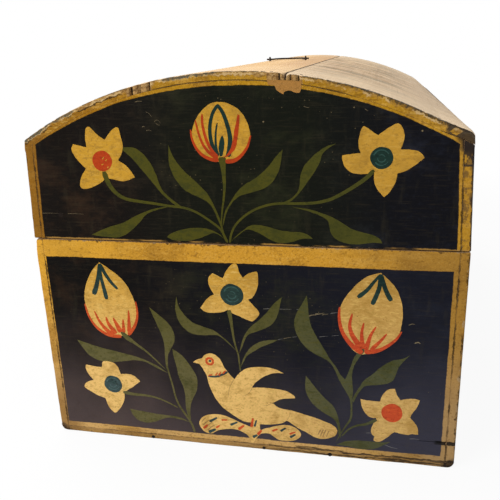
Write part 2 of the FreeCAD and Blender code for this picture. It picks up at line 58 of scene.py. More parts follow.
def shade(code):
    """A colour written as #rrggbb, in the linear values that a shader takes."""
    parts = [int(code[start:start + 2], 16) / 255 for start in (1, 3, 5)]
    return (*(part / 12.92 if part < 0.04045 else ((part + 0.055) / 1.055) ** 2.4 for part in parts), 1)


def new_node(tree, kind, settings, inputs):
    """Adds a node to a tree. Each input is linked where a socket is given, and set otherwise."""
    made = tree.nodes.new(kind)
    for key, setting in settings.items():
        setattr(made, key, setting)
    for key, value in inputs.items():
        if isinstance(value, bpy.types.NodeSocket):
            tree.links.new(value, made.inputs[key])
        else:
            made.inputs[key].default_value = value
    return made


class Value:
    """A shader socket. Arithmetic on it adds Math nodes, so that masks read as plain expressions."""

    def __init__(self, finish, socket):
        self.finish = finish
        self.socket = socket

    def maths(self, operation, *operands):
        return self.finish.node("ShaderNodeMath", {"operation": operation}, dict(enumerate(operands)))

    def __add__(self, other):
        return self.maths("ADD", self, other)

    def __radd__(self, other):
        return self.maths("ADD", other, self)

    def __sub__(self, other):
        return self.maths("SUBTRACT", self, other)

    def __rsub__(self, other):
        return self.maths("SUBTRACT", other, self)

    def __mul__(self, other):
        return self.maths("MULTIPLY", self, other)

    def __rmul__(self, other):
        return self.maths("MULTIPLY", other, self)

    def __pow__(self, other):
        return self.maths("POWER", self, other)

    def __abs__(self):
        return self.maths("ABSOLUTE", self)

    def least(self, other):
        return self.maths("MINIMUM", self, other)

    def most(self, other):
        return self.maths("MAXIMUM", self, other)


class Finish:
    """A material in the making, called f below. Its x, y and z are the place in millimetres."""

    def __init__(self, name):
        self.colour = None
        self.material = bpy.data.materials.new(name)
        self.material.use_nodes = True
        self.tree = self.material.node_tree
        self.tree.nodes.clear()
        metres = self.node("ShaderNodeTexCoord", {}, {}, "Object")
        enlarged = {"Vector": metres, "Scale": 1 / MM}
        self.place = self.node("ShaderNodeVectorMath", {"operation": "SCALE"}, enlarged)
        axes = self.node("ShaderNodeSeparateXYZ", {}, {"Vector": self.place}).socket.node.outputs
        self.x, self.y, self.z = (Value(self, axis) for axis in axes)

    def node(self, kind, settings, inputs, output=0):
        """Adds a node, and gives one of its outputs."""
        plain = {key: value.socket if isinstance(value, Value) else value for key, value in inputs.items()}
        made = new_node(self.tree, kind, settings, plain)
        return Value(self, made.outputs[output]) if made.outputs else None

    def fade(self, value, start, end):
        """0 at start and before it, 1 at end and past it, smooth between."""
        ends = {"Value": value, "From Min": start, "From Max": end}
        return self.node("ShaderNodeMapRange", {"interpolation_type": "SMOOTHSTEP"}, ends)

    def cloud(self, scale, detail=3, roughness=0.55, stretch=(1, 1, 1)):
        """Noise about 0.5, scale spots to the millimetre, drawn out along an axis with a small stretch."""
        drawn = self.node("ShaderNodeVectorMath", {"operation": "MULTIPLY"}, {0: self.place, 1: stretch})
        inputs = {"Vector": drawn, "Scale": scale, "Detail": detail, "Roughness": roughness}
        return self.node("ShaderNodeTexNoise", {}, inputs)

    def specks(self, scale, size, share):
        """1 on specks up to size cells across, in that share of the cells, scale cells to the millimetre."""
        cell = self.node("ShaderNodeTexVoronoi", {}, {"Vector": self.place, "Scale": scale})
        chance = Value(self, cell.socket.node.outputs["Color"])
        draw = self.node("ShaderNodeSeparateXYZ", {}, {"Vector": chance})
        speck = self.fade(cell - size * (1 - draw * (0.8 / share)), 0.02, -0.02)
        return speck * self.fade(draw, share, share - 0.01)

    def cracks(self, scale, width):
        """1 on the thin lines of a net of cracks, with scale cells to the millimetre."""
        cells = {"Vector": self.place, "Scale": scale}
        gap = self.node("ShaderNodeTexVoronoi", {"feature": "DISTANCE_TO_EDGE"}, cells)
        return self.fade(gap, width, 0)

    def mix(self, share, first, second):
        """That share of the second colour in the first. Each is a socket or a code."""
        first, second = (shade(colour) if isinstance(colour, str) else colour for colour in (first, second))
        return self.node("ShaderNodeMix", {"data_type": "RGBA"}, {0: share, 6: first, 7: second}, 2)

    def coat(self, share, colour):
        """Lays that share of a colour over what is there."""
        self.colour = self.mix(share, self.colour, colour)
        return self.colour

    def surface(self, roughness, relief, depth, specular, metallic=0):
        """Ends the material: depth is the relief's full height in millimetres."""
        bump = self.node("ShaderNodeBump", {}, {"Distance": depth * MM, "Height": relief})
        inputs = {
            "Base Color": self.colour,
            "Roughness": roughness,
            "Metallic": metallic,
            "Specular IOR Level": specular,
            "Normal": bump,
        }
        shader = self.node("ShaderNodeBsdfPrincipled", {}, inputs)
        self.node("ShaderNodeOutputMaterial", {}, {"Surface": shader})
        return self.material


def bare_wood(name, along):
    """Old unpainted softwood, with its grain along X or along Y."""
    f = Finish(name)
    stretch = (0.06, 1, 1) if along == "x" else (1, 0.06, 1)
    bands = f.cloud(0.09, 4, stretch=stretch)
    fibres = f.cloud(0.9, 2, stretch=stretch)
    stain = f.cloud(0.018, 4)
    f.colour = f.mix(f.fade(bands, 0.35, 0.65), "#8d6d4a", "#b39268")
    f.coat(f.fade(fibres, 0.5, 0.75) * 0.45, "#6b4f33")
    f.coat(f.fade(stain, 0.52, 0.75) * 0.6, "#5b452f")
    return f.surface(0.72 + fibres * 0.2, bands * 0.6 + fibres * 0.4, depth=0.25, specular=0.2)


long_wood = bare_wood("bare_wood_long", "x")
cross_wood = bare_wood("bare_wood_cross", "y")


def above_seam(f):
    """1 on the lid, 0 on the base."""
    return f.fade(f.z, seam - 1, seam + 1)


def dark_ground(f):
    """The thin dark paint of the panels, with the board's grain and old brush marks in it.

    It is brown-black at the front, greener in the middle, bluish to the back and greyed at the foot.
    """
    to_back = f.fade(f.y, -105, 105)
    green = f.fade(abs(f.y - 10), 95, 20)
    on_base = f.mix(to_back, "#080605", "#13141d")
    on_lid = f.mix(to_back, "#0e0906", "#0b0b10")
    f.colour = f.mix(above_seam(f), on_base, f.mix(green * 0.8, on_lid, "#0e1107"))
    rubbed = f.fade(f.cloud(0.03, 5, 0.7, stretch=(0.6, 0.6, 1)), 0.48, 0.7)
    rubbed_shade = f.mix(green, f.mix(to_back, "#352416", "#252833"), "#282a17")
    f.coat(rubbed * (0.45 + above_seam(f) * 0.2), rubbed_shade)
    # Greyed towards the foot: dust, together with a painted reflection of the pale floor.
    drift = (f.cloud(0.014, 4, 0.6) - 0.5) * 90 + f.fade(abs(f.y - 15), 90, 45) * 12
    greyed = f.mix(to_back, "#544745", "#3d3c48")
    f.coat(f.fade(f.z + drift, 108, -14) * 0.9, greyed)
    grain = f.fade(f.cloud(1.1, 4, 0.65, stretch=(0.07, 0.07, 1)), 0.5, 0.72)
    f.coat(grain * 0.15, "#463d2b")
    upright = f.fade(f.cloud(0.2, 4, 0.6, stretch=(1, 1, 0.25)), 0.54, 0.76)
    f.coat(upright * 0.1, "#4d4632")
    mottled = f.fade(f.cloud(0.4, 5, 0.8, stretch=(0.7, 0.7, 1)), 0.52, 0.7)
    f.coat(mottled * 0.2, rubbed_shade)
    dusty = f.fade(f.cloud(0.02), 0.46, 0.6)
    dust = f.specks(0.35, 0.12, 0.09).most(f.specks(0.14, 0.05, 0.1)) * dusty
    return f.coat(dust * 0.5, "#7d6c4c")


def ochre_border(f):
    """The hand-brushed ochre of the borders: deep on the lid, brighter under the seam, greyed at the foot."""
    brushed = f.cloud(0.22, 4, 0.6, stretch=(0.2, 0.2, 1))
    patches = f.cloud(0.035, 5, 0.65)
    on_lid = above_seam(f)
    f.colour = f.mix(f.fade(f.z, 118, 10), "#c48e2c", "#cba264")
    f.coat(on_lid, f.mix(f.fade(f.y, -20, -90), "#ad7f17", "#95650b"))
    f.coat(f.fade(patches, 0.44, 0.64) * 0.6, "#8a601c")
    f.coat(f.fade(brushed, 0.5, 0.7) * 0.4, "#cf9f48")
    fine = f.cloud(0.7, 5, 0.78)
    f.coat(f.fade(fine, 0.46, 0.34) * 0.4, "#e0b766")
    f.coat(f.fade(fine, 0.53, 0.66) * 0.6, "#6f4a14")
    # Painted shade darkens the base's border towards the back, and painted light brightens its upper part at
    # the front.
    f.coat(f.fade(f.y, 45, 125) * (0.6 - on_lid * 0.6), "#80602f")
    f.coat(f.fade(f.y, -50, -105) * f.fade(f.z, 110, 132) * (0.45 - on_lid * 0.45), "#d6a032")
    f.coat(f.fade(f.y, 112, 124) * on_lid * 0.35, "#b58636")
    f.coat(f.fade(f.y, 108, 120) * f.fade(f.z, 95, 30) * 0.6, "#ad8d62")
    f.coat(f.fade(f.y, -112, -126) * f.fade(f.z, 70, 20) * 0.8, "#8a6536")
    f.coat(f.fade(f.y, -112, -124) * on_lid * 0.7, "#7c5318")
    f.coat(f.fade(f.z, bottom_thickness + 0.2, bottom_thickness - 0.4) * 0.5, "#74552c")
    worn = f.fade(f.cloud(0.5, 4, 0.7, stretch=(0.5, 0.5, 1)), 0.56, 0.66)
    f.coat(worn * 0.45, "#6b4818")
    dirt = f.specks(0.45, 0.2, 0.16).most(f.cracks(0.3, 0.03) * 0.15)
    return f.coat(dirt * 0.7, "#35250f")


def painted(name, edges_of, marks):
    """Paint on the outside: the dark ground, the ochre border along the arrises, and its wear.

    edges_of gives how far a place lies outside the border's inner edge, and its distance to the nearest
    arris, in millimetres. marks adds what is peculiar to one part of the trunk, and comes last.
    """
    f = Finish(name)
    inside, arris = edges_of(f)
    wobble = (f.cloud(0.03) - 0.5) * 1.6 + (f.cloud(0.35, 2) - 0.5) * 0.6
    border = f.fade(inside + wobble, 0.25, -0.25)
    f.colour = f.mix(border, dark_ground(f), ochre_border(f))
    ragged = f.cloud(0.3, 5, 0.7, stretch=(1, 1, 0.5))
    grime = f.fade(ragged - arris * 0.12, 0.45, 0.55)
    f.coat(grime * 0.8, "#2a1c10")
    chipped = f.fade(f.cloud(0.2, 5, 0.65) - arris * 0.16, 0.5, 0.55)
    f.coat(chipped * 0.8, "#a48a66")
    marks(f)
    fibres = f.cloud(0.8, stretch=(0.08, 0.08, 1))
    roughness = 0.5 + f.cloud(0.05) * 0.3
    relief = fibres + border * 0.5 - chipped * 0.5 - f.cracks(0.3, 0.05) * 0.3
    return f.surface(roughness, relief, depth=0.12, specular=0.06)


def base_edges(f):
    """The border is wider under the seam, and at the right of the photographed end."""
    from_end = half_length - abs(f.x)
    from_side = half_width - abs(f.y) - f.y * border_drift
    corner = from_end.most(from_side)
    border = corner.least((seam - seam_border - f.z).least(f.z - foot_border)) - border_width
    return border, corner.least((seam - f.z).least(f.z))


def on_ends(f):
    """1 on the trunk's two ends, 0 on its sides."""
    return f.fade(abs(f.x), half_length - 3, half_length - 1.5)


def base_marks(f):
    """Grime in the joints between the boards, and dark wear on the lower corners."""
    on_end = on_ends(f)
    faded = f.fade(f.cloud(0.06), 0.36, 0.56)
    crumbs = (f.cloud(0.5, 4, 0.7) - 0.5) * 2.4
    beside_side = f.fade(abs(abs(f.y) - inner_width) + crumbs, 0.75, 0.25)
    over_bottom = f.fade(abs(f.z - bottom_thickness) + crumbs * 0.7, 0.5, 0.1)
    f.coat((beside_side * on_end).most(over_bottom) * faded * 0.85, "#1f150c")
    ragged = f.cloud(0.2, 4, 0.6) * 16
    corner = f.fade(abs(f.y) - f.z * 0.9 + ragged, 131, 137)
    f.coat(corner * on_end * f.fade(f.z, 9, 4) * 0.85, "#231b16")
    photographed = f.fade(f.x, 0, 10) * on_end
    drawn_out = f.cloud(0.3, 5, 0.75, stretch=(1, 0.22, 1)) - 0.5
    upper_split = f.fade(abs(f.z - upper_foot_split + drawn_out * 8), 0.9, 0.4)
    lower_split = f.fade(abs(f.z - lower_foot_split + drawn_out * 7), 0.9, 0.3)
    foot = upper_split.most(lower_split) * f.fade(f.y, -30, 60)
    f.coat(foot * photographed * 0.85, "#241c18")
    over_strip = f.fade(abs(f.z - strip_top) + (ragged - 8) * 0.16, 1.7, 1.1)
    opened = over_strip * f.fade(f.y + ragged * 0.3, 123.5, 126)
    dusty = f.mix(f.fade(drawn_out, 0, 0.12) * 0.5, "#191818", "#4a4a47")
    f.coat(opened * photographed * 0.95, dusty)


strip_top = 18.0
upper_foot_split, lower_foot_split = 4.4, 1.7
border_width = 7.5
seam_border = 4.2  # so much wider under the seam
foot_border = 0.6  # so much wider at the foot
border_drift = 0.0077  # so much wider with each millimetre to the back
base_paint = painted("base_paint", base_edges, base_marks)


def cuts(low, high, spacing):
    """Where a board is divided along one axis: close together at both arrises, then evenly."""
    near = [cut for cut in arris_cuts if cut < (high - low) * 0.4]
    first, last = low + near[-1], high - near[-1]
    steps = max(1, round((last - first) / spacing))
    even = [first + (last - first) * step / steps for step in range(steps + 1)]
    return [low + cut for cut in near[:-1]] + even + [high - cut for cut in reversed(near[:-1])]


def rounded(point, low, high, radius):
    """A point on a square block, moved in to where the block's arrises are worn to that radius."""
    radius = min(radius, min(high - low) * 0.48)
    inner = Vector(min(max(spot, start + radius), end - radius) for spot, start, end in zip(point, low, high))
    outward = point - inner
    return inner + outward.normalized() * radius


def soft_arris(point):
    """How far handling has worn an arris at a place, in millimetres."""
    return 0.6 + 0.3 * noise.noise(point * 0.06) + 0.35 * noise.noise(point * 0.31)


def joint_arris(point):
    """Where two boards meet in one face, their arrises are almost sharp."""
    return 0.2 + 0.08 * noise.noise(point * 0.31)


def straight(point):
    """For what stays where it was drawn."""
    return point


def linked(name, data):
    """A new object at the origin."""
    made = bpy.data.objects.new(name, data)
    bpy.context.scene.collection.objects.link(made)
    return made


def mesh_of(name, shape):
    """A mesh of a finished shape."""
    mesh = bpy.data.meshes.new(name)
    shape.to_mesh(mesh)
    shape.free()
    return mesh


def board(
    name, node, body, low, high, spacing, finishes, finish_of,
    bend=straight, arris=soft_arris, bore=None,
):
    """A board with worn arrises in the place of one CAD board.

    low and high are the corners of the straight board in millimetres, and bend carries each of its
    points to its place on the trunk. finish_of picks a finish by the axis and the side a face looks to.
    bore is the mesh of a hole through it.
    """
    low, high = Vector(low), Vector(high)
    lines = [cuts(*limits) for limits in zip(low, high, spacing)]
    shape = bmesh.new()
    corners = {}

    def corner(spot):
        if spot not in corners:
            flat = Vector(lines[axis][index] for axis, index in enumerate(spot))
            corners[spot] = shape.verts.new(bend(rounded(flat, low, high, arris(flat))) * MM)
        return corners[spot]

    for axis in range(3):
        across, up = (axis + 1) % 3, (axis + 2) % 3
        for side, layer in ((-1, 0), (1, len(lines[axis]) - 1)):
            for column in range(len(lines[across]) - 1):
                for row in range(len(lines[up]) - 1):
                    ring = (column, row), (column + 1, row), (column + 1, row + 1), (column, row + 1)
                    spots = []
                    for step_across, step_up in ring[::side]:
                        spot = [layer] * 3
                        spot[across], spot[up] = step_across, step_up
                        spots.append(tuple(spot))
                    face = shape.faces.new([corner(spot) for spot in spots])
                    face.material_index = finish_of(axis, side)
                    face.smooth = True
    mesh = mesh_of(name, shape)
    for finish in finishes:
        mesh.materials.append(finish)
    piece = linked(name, mesh)
    if bore:
        drill = linked("drill", bore)
        cut = piece.modifiers.new("bore", "BOOLEAN")
        cut.object = drill
        drilled = piece.evaluated_get(bpy.context.evaluated_depsgraph_get())
        piece.data = bpy.data.meshes.new_from_object(drilled)
        piece.data.name = name
        piece.modifiers.remove(cut)
        bpy.data.objects.remove(drill)
    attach(piece, body)
    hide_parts(node)


def within(share):
    """A share, kept from 0 to 1."""
    return max(0, min(1, share))


def worn_foot(point):
    """Rounds the trunk's lower long edges, most of all near its four corners."""
    from_end = half_length - abs(point.x)
    radius = foot_radius + corner_wear * within((corner_reach - from_end) / corner_fade)
    out = abs(point.y) - (half_width - radius)
    down = radius - point.z
    if out <= 0 or down <= 0:
        return point
    reach = math.hypot(out, down)
    if reach <= radius:
        return point
    share = radius / reach
    across = half_width - radius + out * share
    return Vector((point.x, math.copysign(across, point.y), radius - down * share))


foot_radius = 1.2
corner_wear = 4.2
corner_reach = 45.0
corner_fade = 35.0
OUTSIDE, INSIDE = 0, 1
nail_proud = 0.15  # the bottom nails' heads stand this far below the bottom board
board(
    "bottom_board_worn", "bottom_board", "base",
    (-end_face, -half_width, nail_proud), (end_face, half_width, bottom_thickness), spacing=(10, 8, 4),
    finishes=[base_paint, long_wood], finish_of=lambda axis, side: INSIDE if axis == 2 else OUTSIDE,
    bend=worn_foot,
)

# Base walls: thin front and back boards that cover the thicker end boards, glued and nailed.
# They are painted dark outside with an ochre border, and left bare inside and on their upper edges.
chip_spot = Vector((half_length, -half_width, seam))
chip_reach = 9.0
chip_depth = 2.2


def base_side_arris(point):
    """The trunk's corners are worn, and the front's upper one at the photographed end has lost a chip."""
    if abs(point.y) < inner_width + 1 or point.z < bottom_thickness + 1:
        return joint_arris(point)
    lost = max(0, 1 - (point - chip_spot).length / chip_reach)
    return soft_arris(point) + 0.4 + chip_depth * lost


def keyhole_bore():
    """The keyhole through the front board: a round hole over a slot."""
    shape = bmesh.new()
    slot_angle = math.asin(keyhole_slot / keyhole_radius)
    rim = []
    for step in range(keyhole_steps + 1):
        angle = -math.pi / 2 + slot_angle + (math.tau - 2 * slot_angle) * step / keyhole_steps
        rim.append((keyhole_radius * math.cos(angle), keyhole_height + keyhole_radius * math.sin(angle)))
    rim += [(-keyhole_slot, keyhole_height - keyhole_length), (keyhole_slot, keyhole_height - keyhole_length)]
    rings = [
        [shape.verts.new(Vector((x, y, z)) * MM) for x, z in rim] for y in (-half_width - 1, -inner_width + 1)
    ]
    shape.faces.new(rings[0])
    shape.faces.new(rings[1][::-1])
    for index in range(len(rim)):
        shape.faces.new((rings[0][index - 1], rings[1][index - 1], rings[1][index], rings[0][index]))
    for face in shape.faces:
        face.material_index = INSIDE
    bmesh.ops.recalc_face_normals(shape, faces=shape.faces)
    return mesh_of("keyhole_bore", shape)


def side_finish(facing):
    """A side's outer face and its end grain are painted."""
    return lambda axis, side: OUTSIDE if axis == 0 or (axis == 1 and side == facing) else INSIDE


keyhole_steps = 24
keyhole_height = 120.0
keyhole_radius = 1.9
keyhole_slot = 1.0
keyhole_length = 7.0
for side_name, facing in (("front", -1), ("back", 1)):
    y_edges = sorted((facing * inner_width, facing * half_width))
    board(
        f"base_{side_name}_board_worn", f"base_{side_name}_board", "base",
        (-end_face, y_edges[0], bottom_thickness), (end_face, y_edges[1], seam), spacing=(6, 3, 4),
        finishes=[base_paint, long_wood], finish_of=side_finish(facing), bend=worn_foot,
        arris=base_side_arris, bore=keyhole_bore() if side_name == "front" else None,
    )

split_width = 0.4
crumble_start = 118.0
crumble_fade = 8.0
crumble_height = 3.0


def split_arris(point):
    """The ends are tight against the sides. The joint above the lower strip has crumbled towards the back."""
    if point.z > seam - 1:
        return soft_arris(point)
    crumbled = within((point.y - crumble_start) / crumble_fade)
    crumbled *= max(0, 1 - abs(point.z - strip_top) / crumble_height)
    return joint_arris(point) + (1.2 + noise.noise(point * 0.4)) * crumbled


end_boards = (
    ("base_left_end_board", -end_face, -inner_length, bottom_thickness, seam, -1),
    ("base_right_end_board", inner_length, end_face, strip_top + split_width, seam, 1),
    ("base_right_end_strip", inner_length, end_face, bottom_thickness, strip_top, 1),
)
for node, x_low, x_high, z_low, z_high, facing in end_boards:

    def end_finish(axis, side):
        """The outer face is painted, and so are the upper and lower edges apart from the one at the seam."""
        at_seam = side > 0 and z_high == seam
        return OUTSIDE if (axis == 0 and side == facing) or (axis == 2 and not at_seam) else INSIDE

    board(
        f"{node}_worn", node, "base",
        (x_low, -inner_width, z_low), (x_high, inner_width, z_high), spacing=(3, 4, 5),
        finishes=[base_paint, cross_wood], finish_of=end_finish, arris=split_arris,
    )

# Lid walls: front and back boards that lean in a little, and arched end boards between them.
# They are painted as the base is. The lid stands off the base by a hair, which shows as a dark seam.
lid_bottom = seam + 0.5
lid_wall = 63.5
lid_lean = 2.6
lid_slope = lid_lean / lid_wall
dome_radius = 249.66
dome_centre = -4.16
top_thickness = 5.0
under_radius = dome_radius - top_thickness
twist = 0.015
twist_middle = 40.0
twist_start = 114.0
twist_end = 132.0
notch_height = 193.4  # over it the lid's back corner at the photographed end has lost its paint


def lean(height):
    """How far the lid's sides lean in at a height."""
    return lid_lean * (height - seam) / lid_wall


def ease(share):
    """0 to 1 with a soft start and end."""
    share = within(share)
    return share * share * (3 - 2 * share)


def warp(along, across):
    """How far the lid's back eave stands over its true height, or under it, since the lid has twisted."""
    return twist * (along - twist_middle) * ease((across - twist_start) / (twist_end - twist_start))


def underside(along, across):
    """Height of the dome's underside at a distance from the middle."""
    return dome_centre + math.sqrt(under_radius ** 2 - across ** 2) + warp(along, across)


def from_axis(f, height):
    """Distance to the line that the dome is round about, at a height over it."""
    return (f.y * f.y + height * height) ** 0.5


def lid_edges(f):
    """The border follows the lid's corners, and the arch that the top boards make."""
    from_end = half_length - abs(f.x)
    from_side = half_width - (f.z - seam) * lid_slope - abs(f.y)
    from_arch = dome_radius - from_axis(f, f.z - dome_centre)
    corner = from_end.most(from_side)
    border = corner.least(from_arch + abs(f.y) * 0.012) - border_width
    return border, corner.least(from_arch).least(f.z - lid_bottom)


def over_centre(f):
    """Height over the dome's centre, without the twist."""
    return f.z - dome_centre - (f.x - twist_middle) * twist * f.fade(f.y, twist_start, twist_end)


def lid_marks(f):
    """Joints full of grime, the thin ochre line over the seam, painted shade of the seam, and darkening at
    the arch's back end.
    """
    radius = from_axis(f, over_centre(f))
    on_end = on_ends(f)
    ragged = (f.cloud(0.22, 4, 0.65) - 0.5) * 5
    line = f.fade(f.z + ragged * 0.3, lid_bottom + 1.5, lid_bottom + 0.9)
    f.coat(line * f.fade(f.cloud(0.03), 0.42, 0.52) * 0.8, "#a57c3c")
    # Near-black along the lid's lower edge: painted shade of the seam, with dirt in it.
    f.coat(f.fade(f.z, lid_bottom + 0.6, lid_bottom + 0.1) * 0.9, "#120c08")
    faded = f.fade(f.cloud(0.06), 0.34, 0.54)
    crumbs = (f.cloud(0.5, 4, 0.7) - 0.5) * 2.4
    leaning_in = (f.z - seam) * lid_slope
    beside_side = f.fade(abs(abs(f.y) + leaning_in - inner_width) + crumbs, 0.75, 0.25)
    open_joint = f.fade(abs(f.y - 10), 64, 48) * 0.85 + 0.15
    under_top = f.fade(abs(radius - under_radius) + crumbs * 0.6, 0.5, 0.1) * open_joint
    f.coat(beside_side.most(under_top) * on_end * faded * 0.85, "#1f150c")
    outer = f.fade(f.y + leaning_in, inner_width - 0.3, inner_width + 0.3) * on_end
    stained = f.fade(f.cloud(0.14, 5, 0.7), 0.5, 0.6)
    f.coat(outer * stained * 0.6, "#3b322c")
    flaked = f.fade(f.cloud(0.3, 5, 0.7, stretch=(1, 1, 0.35)) + (197 - f.z) * 0.022, 0.5, 0.55)
    bared = outer * f.fade(f.z + ragged * 0.4, notch_height - 0.8, notch_height + 0.8) * (1 - flaked)
    notch = outer * f.fade(abs(f.z - notch_height + ragged * 0.2), 0.8, 0.4)
    f.coat(bared.most(notch) * 0.9, "#2a2524")
    from_edge = half_width - leaning_in - f.y
    f.coat(outer * f.fade(from_edge + ragged * 0.7, 1.4, 0.8) * 0.85, "#2b2625")
    # Darker over the back corner of the lid's end.
    back_end = f.fade(f.y + f.z * 0.45 + ragged * 1.2, 215, 219) * f.fade(f.z + ragged, 196, 202)
    f.coat(back_end * 0.9, "#241e1c")


lid_paint = painted("lid_paint", lid_edges, lid_marks)
flat_top = 240.0
side_top = 205.0


def lid_side_arris(point):
    """The lid's corners are worn, and its joints tight."""
    if abs(point.y) < inner_width + 1 or point.z > side_top - 1:
        return joint_arris(point)
    return soft_arris(point) + 0.3


def lid_end_arris(point):
    """Only the edge over the seam is open to wear."""
    return joint_arris(point) if point.z > lid_bottom + 1 else soft_arris(point)


def leaning(point):
    """Carries the upright board to the lid's leaning side, its upper edge planed to the dome."""
    reach = abs(point.y) - lean(point.z)
    share = (point.z - lid_bottom) / (side_top - lid_bottom)
    height = lid_bottom + share * (underside(point.x, math.copysign(reach, point.y)) - lid_bottom)
    return Vector((point.x, math.copysign(abs(point.y) - lean(height), point.y), height))


def arched(point):
    """Carries the square board to the arched end, between the leaning sides."""
    share = (point.z - lid_bottom) / (flat_top - lid_bottom)
    across, height = point.y, point.z
    for _ in range(3):
        height = lid_bottom + share * (underside(point.x, across) - lid_bottom)
        across = point.y * (1 - lean(height) / inner_width)
    return Vector((point.x, across, height))


for side_name, facing in (("front", -1), ("back", 1)):
    y_edges = sorted((facing * inner_width, facing * half_width))
    board(
        f"lid_{side_name}_board_worn", f"lid_{side_name}_board", "lid",
        (-end_face, y_edges[0], lid_bottom), (end_face, y_edges[1], side_top), spacing=(6, 3, 4),
        finishes=[lid_paint, long_wood], finish_of=side_finish(facing), bend=leaning, arris=lid_side_arris,
    )

for node, x_low, x_high, facing in (
    ("lid_left_end_board", -end_face, -inner_length, -1),
    ("lid_right_end_board", inner_length, end_face, 1),
):
    board(
        f"{node}_worn", node, "lid",
        (x_low, -inner_width, lid_bottom), (x_high, inner_width, flat_top), spacing=(3, 4, 5),
        finishes=[lid_paint, cross_wood],
        finish_of=lambda axis, side: OUTSIDE if axis == 0 and side == facing else INSIDE,
        bend=arched, arris=lid_end_arris,
    )

# Top boards: two thin boards bent over the ends and nailed down, with an open joint behind the middle.
# Handling has worn their paint off, apart from what is left on their ends, which have split at the nails.
joint_place = 31.0
joint_gap = 0.4
eave_under = 132.64
eave_outside = half_width - lid_lean
eave_height = 206.84
# The place and half the width of each split at the photographed end.
splits = ((27.8, 1.0), (33.8, 0.8), (38.4, 0.9), (-48.2, 0.9), (-53.8, 0.7), (-59.2, 0.9))
joint_break, front_break = 30.6, -54.0  # the middles of the two places that have broken out
joint_hole = 29.4  # a splinter is missing here, under the joint
last_flake = (122.5, 211.8)  # across and up, where paint is left on the dark back end
split_depth = 3.5
split_reach = 14.0
sprung = 0.3  # the back board stands this far off its corner over the photographed end
sprung_across, sprung_along = 112.0, 150.0  # where it begins to
ragged_reach = 8.0  # how far in from the ends the upper arris is ragged
worn_across, worn_fade = 118.0, 12.0  # where the back corners are worn more, and how soon
joint_reach = 4.0


def worn_top(name):
    """Weathered bare wood, streaked along the trunk, warm in front of the joint and greyer behind it."""
    f = Finish(name)
    bands = f.cloud(0.1, 4, stretch=(0.01, 1, 1))
    fibres = f.cloud(0.8, stretch=(0.02, 1, 1))
    stains = f.cloud(0.03, 5, 0.65, stretch=(1.2, 0.6, 0.6))
    wiped = f.cloud(0.09, 5, 0.72, stretch=(1.8, 0.3, 0.3))
    mottled = f.cloud(0.11, 5, 0.72, stretch=(1.1, 0.4, 0.4))
    front = f.fade(f.y, joint_place + 1, joint_place - 1)
    f.colour = f.mix(front, "#dcbd98", "#efc58d")
    f.coat(f.fade(bands, 0.44, 0.6) * 0.4, f.mix(front, "#bda083", "#d9ae79"))
    greyed = f.fade(stains, 0.48, 0.64) * (0.75 - front * 0.45) * f.fade(f.y, 125, 80)
    f.coat(greyed, "#93836a")
    f.coat(f.fade(wiped, 0.49, 0.62) * (0.75 - front * 0.55), "#857862")
    f.coat(f.fade(wiped, 0.48, 0.36) * (0.85 - front * 0.55), "#ecd3ae")
    f.coat(f.fade(mottled, 0.5, 0.62) * (0.6 - front * 0.35), "#a88053")
    f.coat(f.fade(mottled, 0.44, 0.32) * 0.4, "#e9d0a8")
    f.coat(f.fade(f.y, 75, 115) * 0.5, "#e8cead")
    f.coat(f.fade(f.y, 3, 22) * front * f.fade(f.x, 170, 90) * 0.7, "#cfa77e")
    f.coat(f.fade(fibres, 0.54, 0.74) * 0.22, "#80664a")
    from_end = half_length - abs(f.x)
    ragged = (f.cloud(0.25, 5, 0.7) - 0.5) * 8
    f.coat(f.fade(from_end, 130, 8) * (0.6 - front * 0.3), "#f2d8b4")
    in_parts = f.fade(f.cloud(0.05, 4, 0.7), 0.4, 0.54) * 0.65 + 0.3
    rim = f.fade(from_end + ragged * 1.1 - f.fade(f.y, 40, 70) * 0.7, 1.7, 0.6) * f.fade(f.y, 121, 117)
    f.coat(rim * in_parts.most(f.fade(f.y, 45, 75) * 0.85), "#2d2d27")
    over_eave = f.z - eave_height
    f.coat(f.fade(over_eave + ragged * 0.6, 3, 0.5) * 0.7, "#4a3c2c")
    beside_joint = f.fade(abs(f.y - joint_place), 1.1, 0.3)
    f.coat(beside_joint * 0.8, "#3a2a1c")
    dents = f.specks(0.05, 0.05, 0.4).most(f.specks(0.12, 0.06, 0.2))
    f.coat(dents * 0.7, "#4d3a26")
    relief = bands * 0.5 + fibres * 0.5 - dents * 0.6
    return f.surface(0.6 + fibres * 0.25, relief, depth=0.3, specular=0.2)


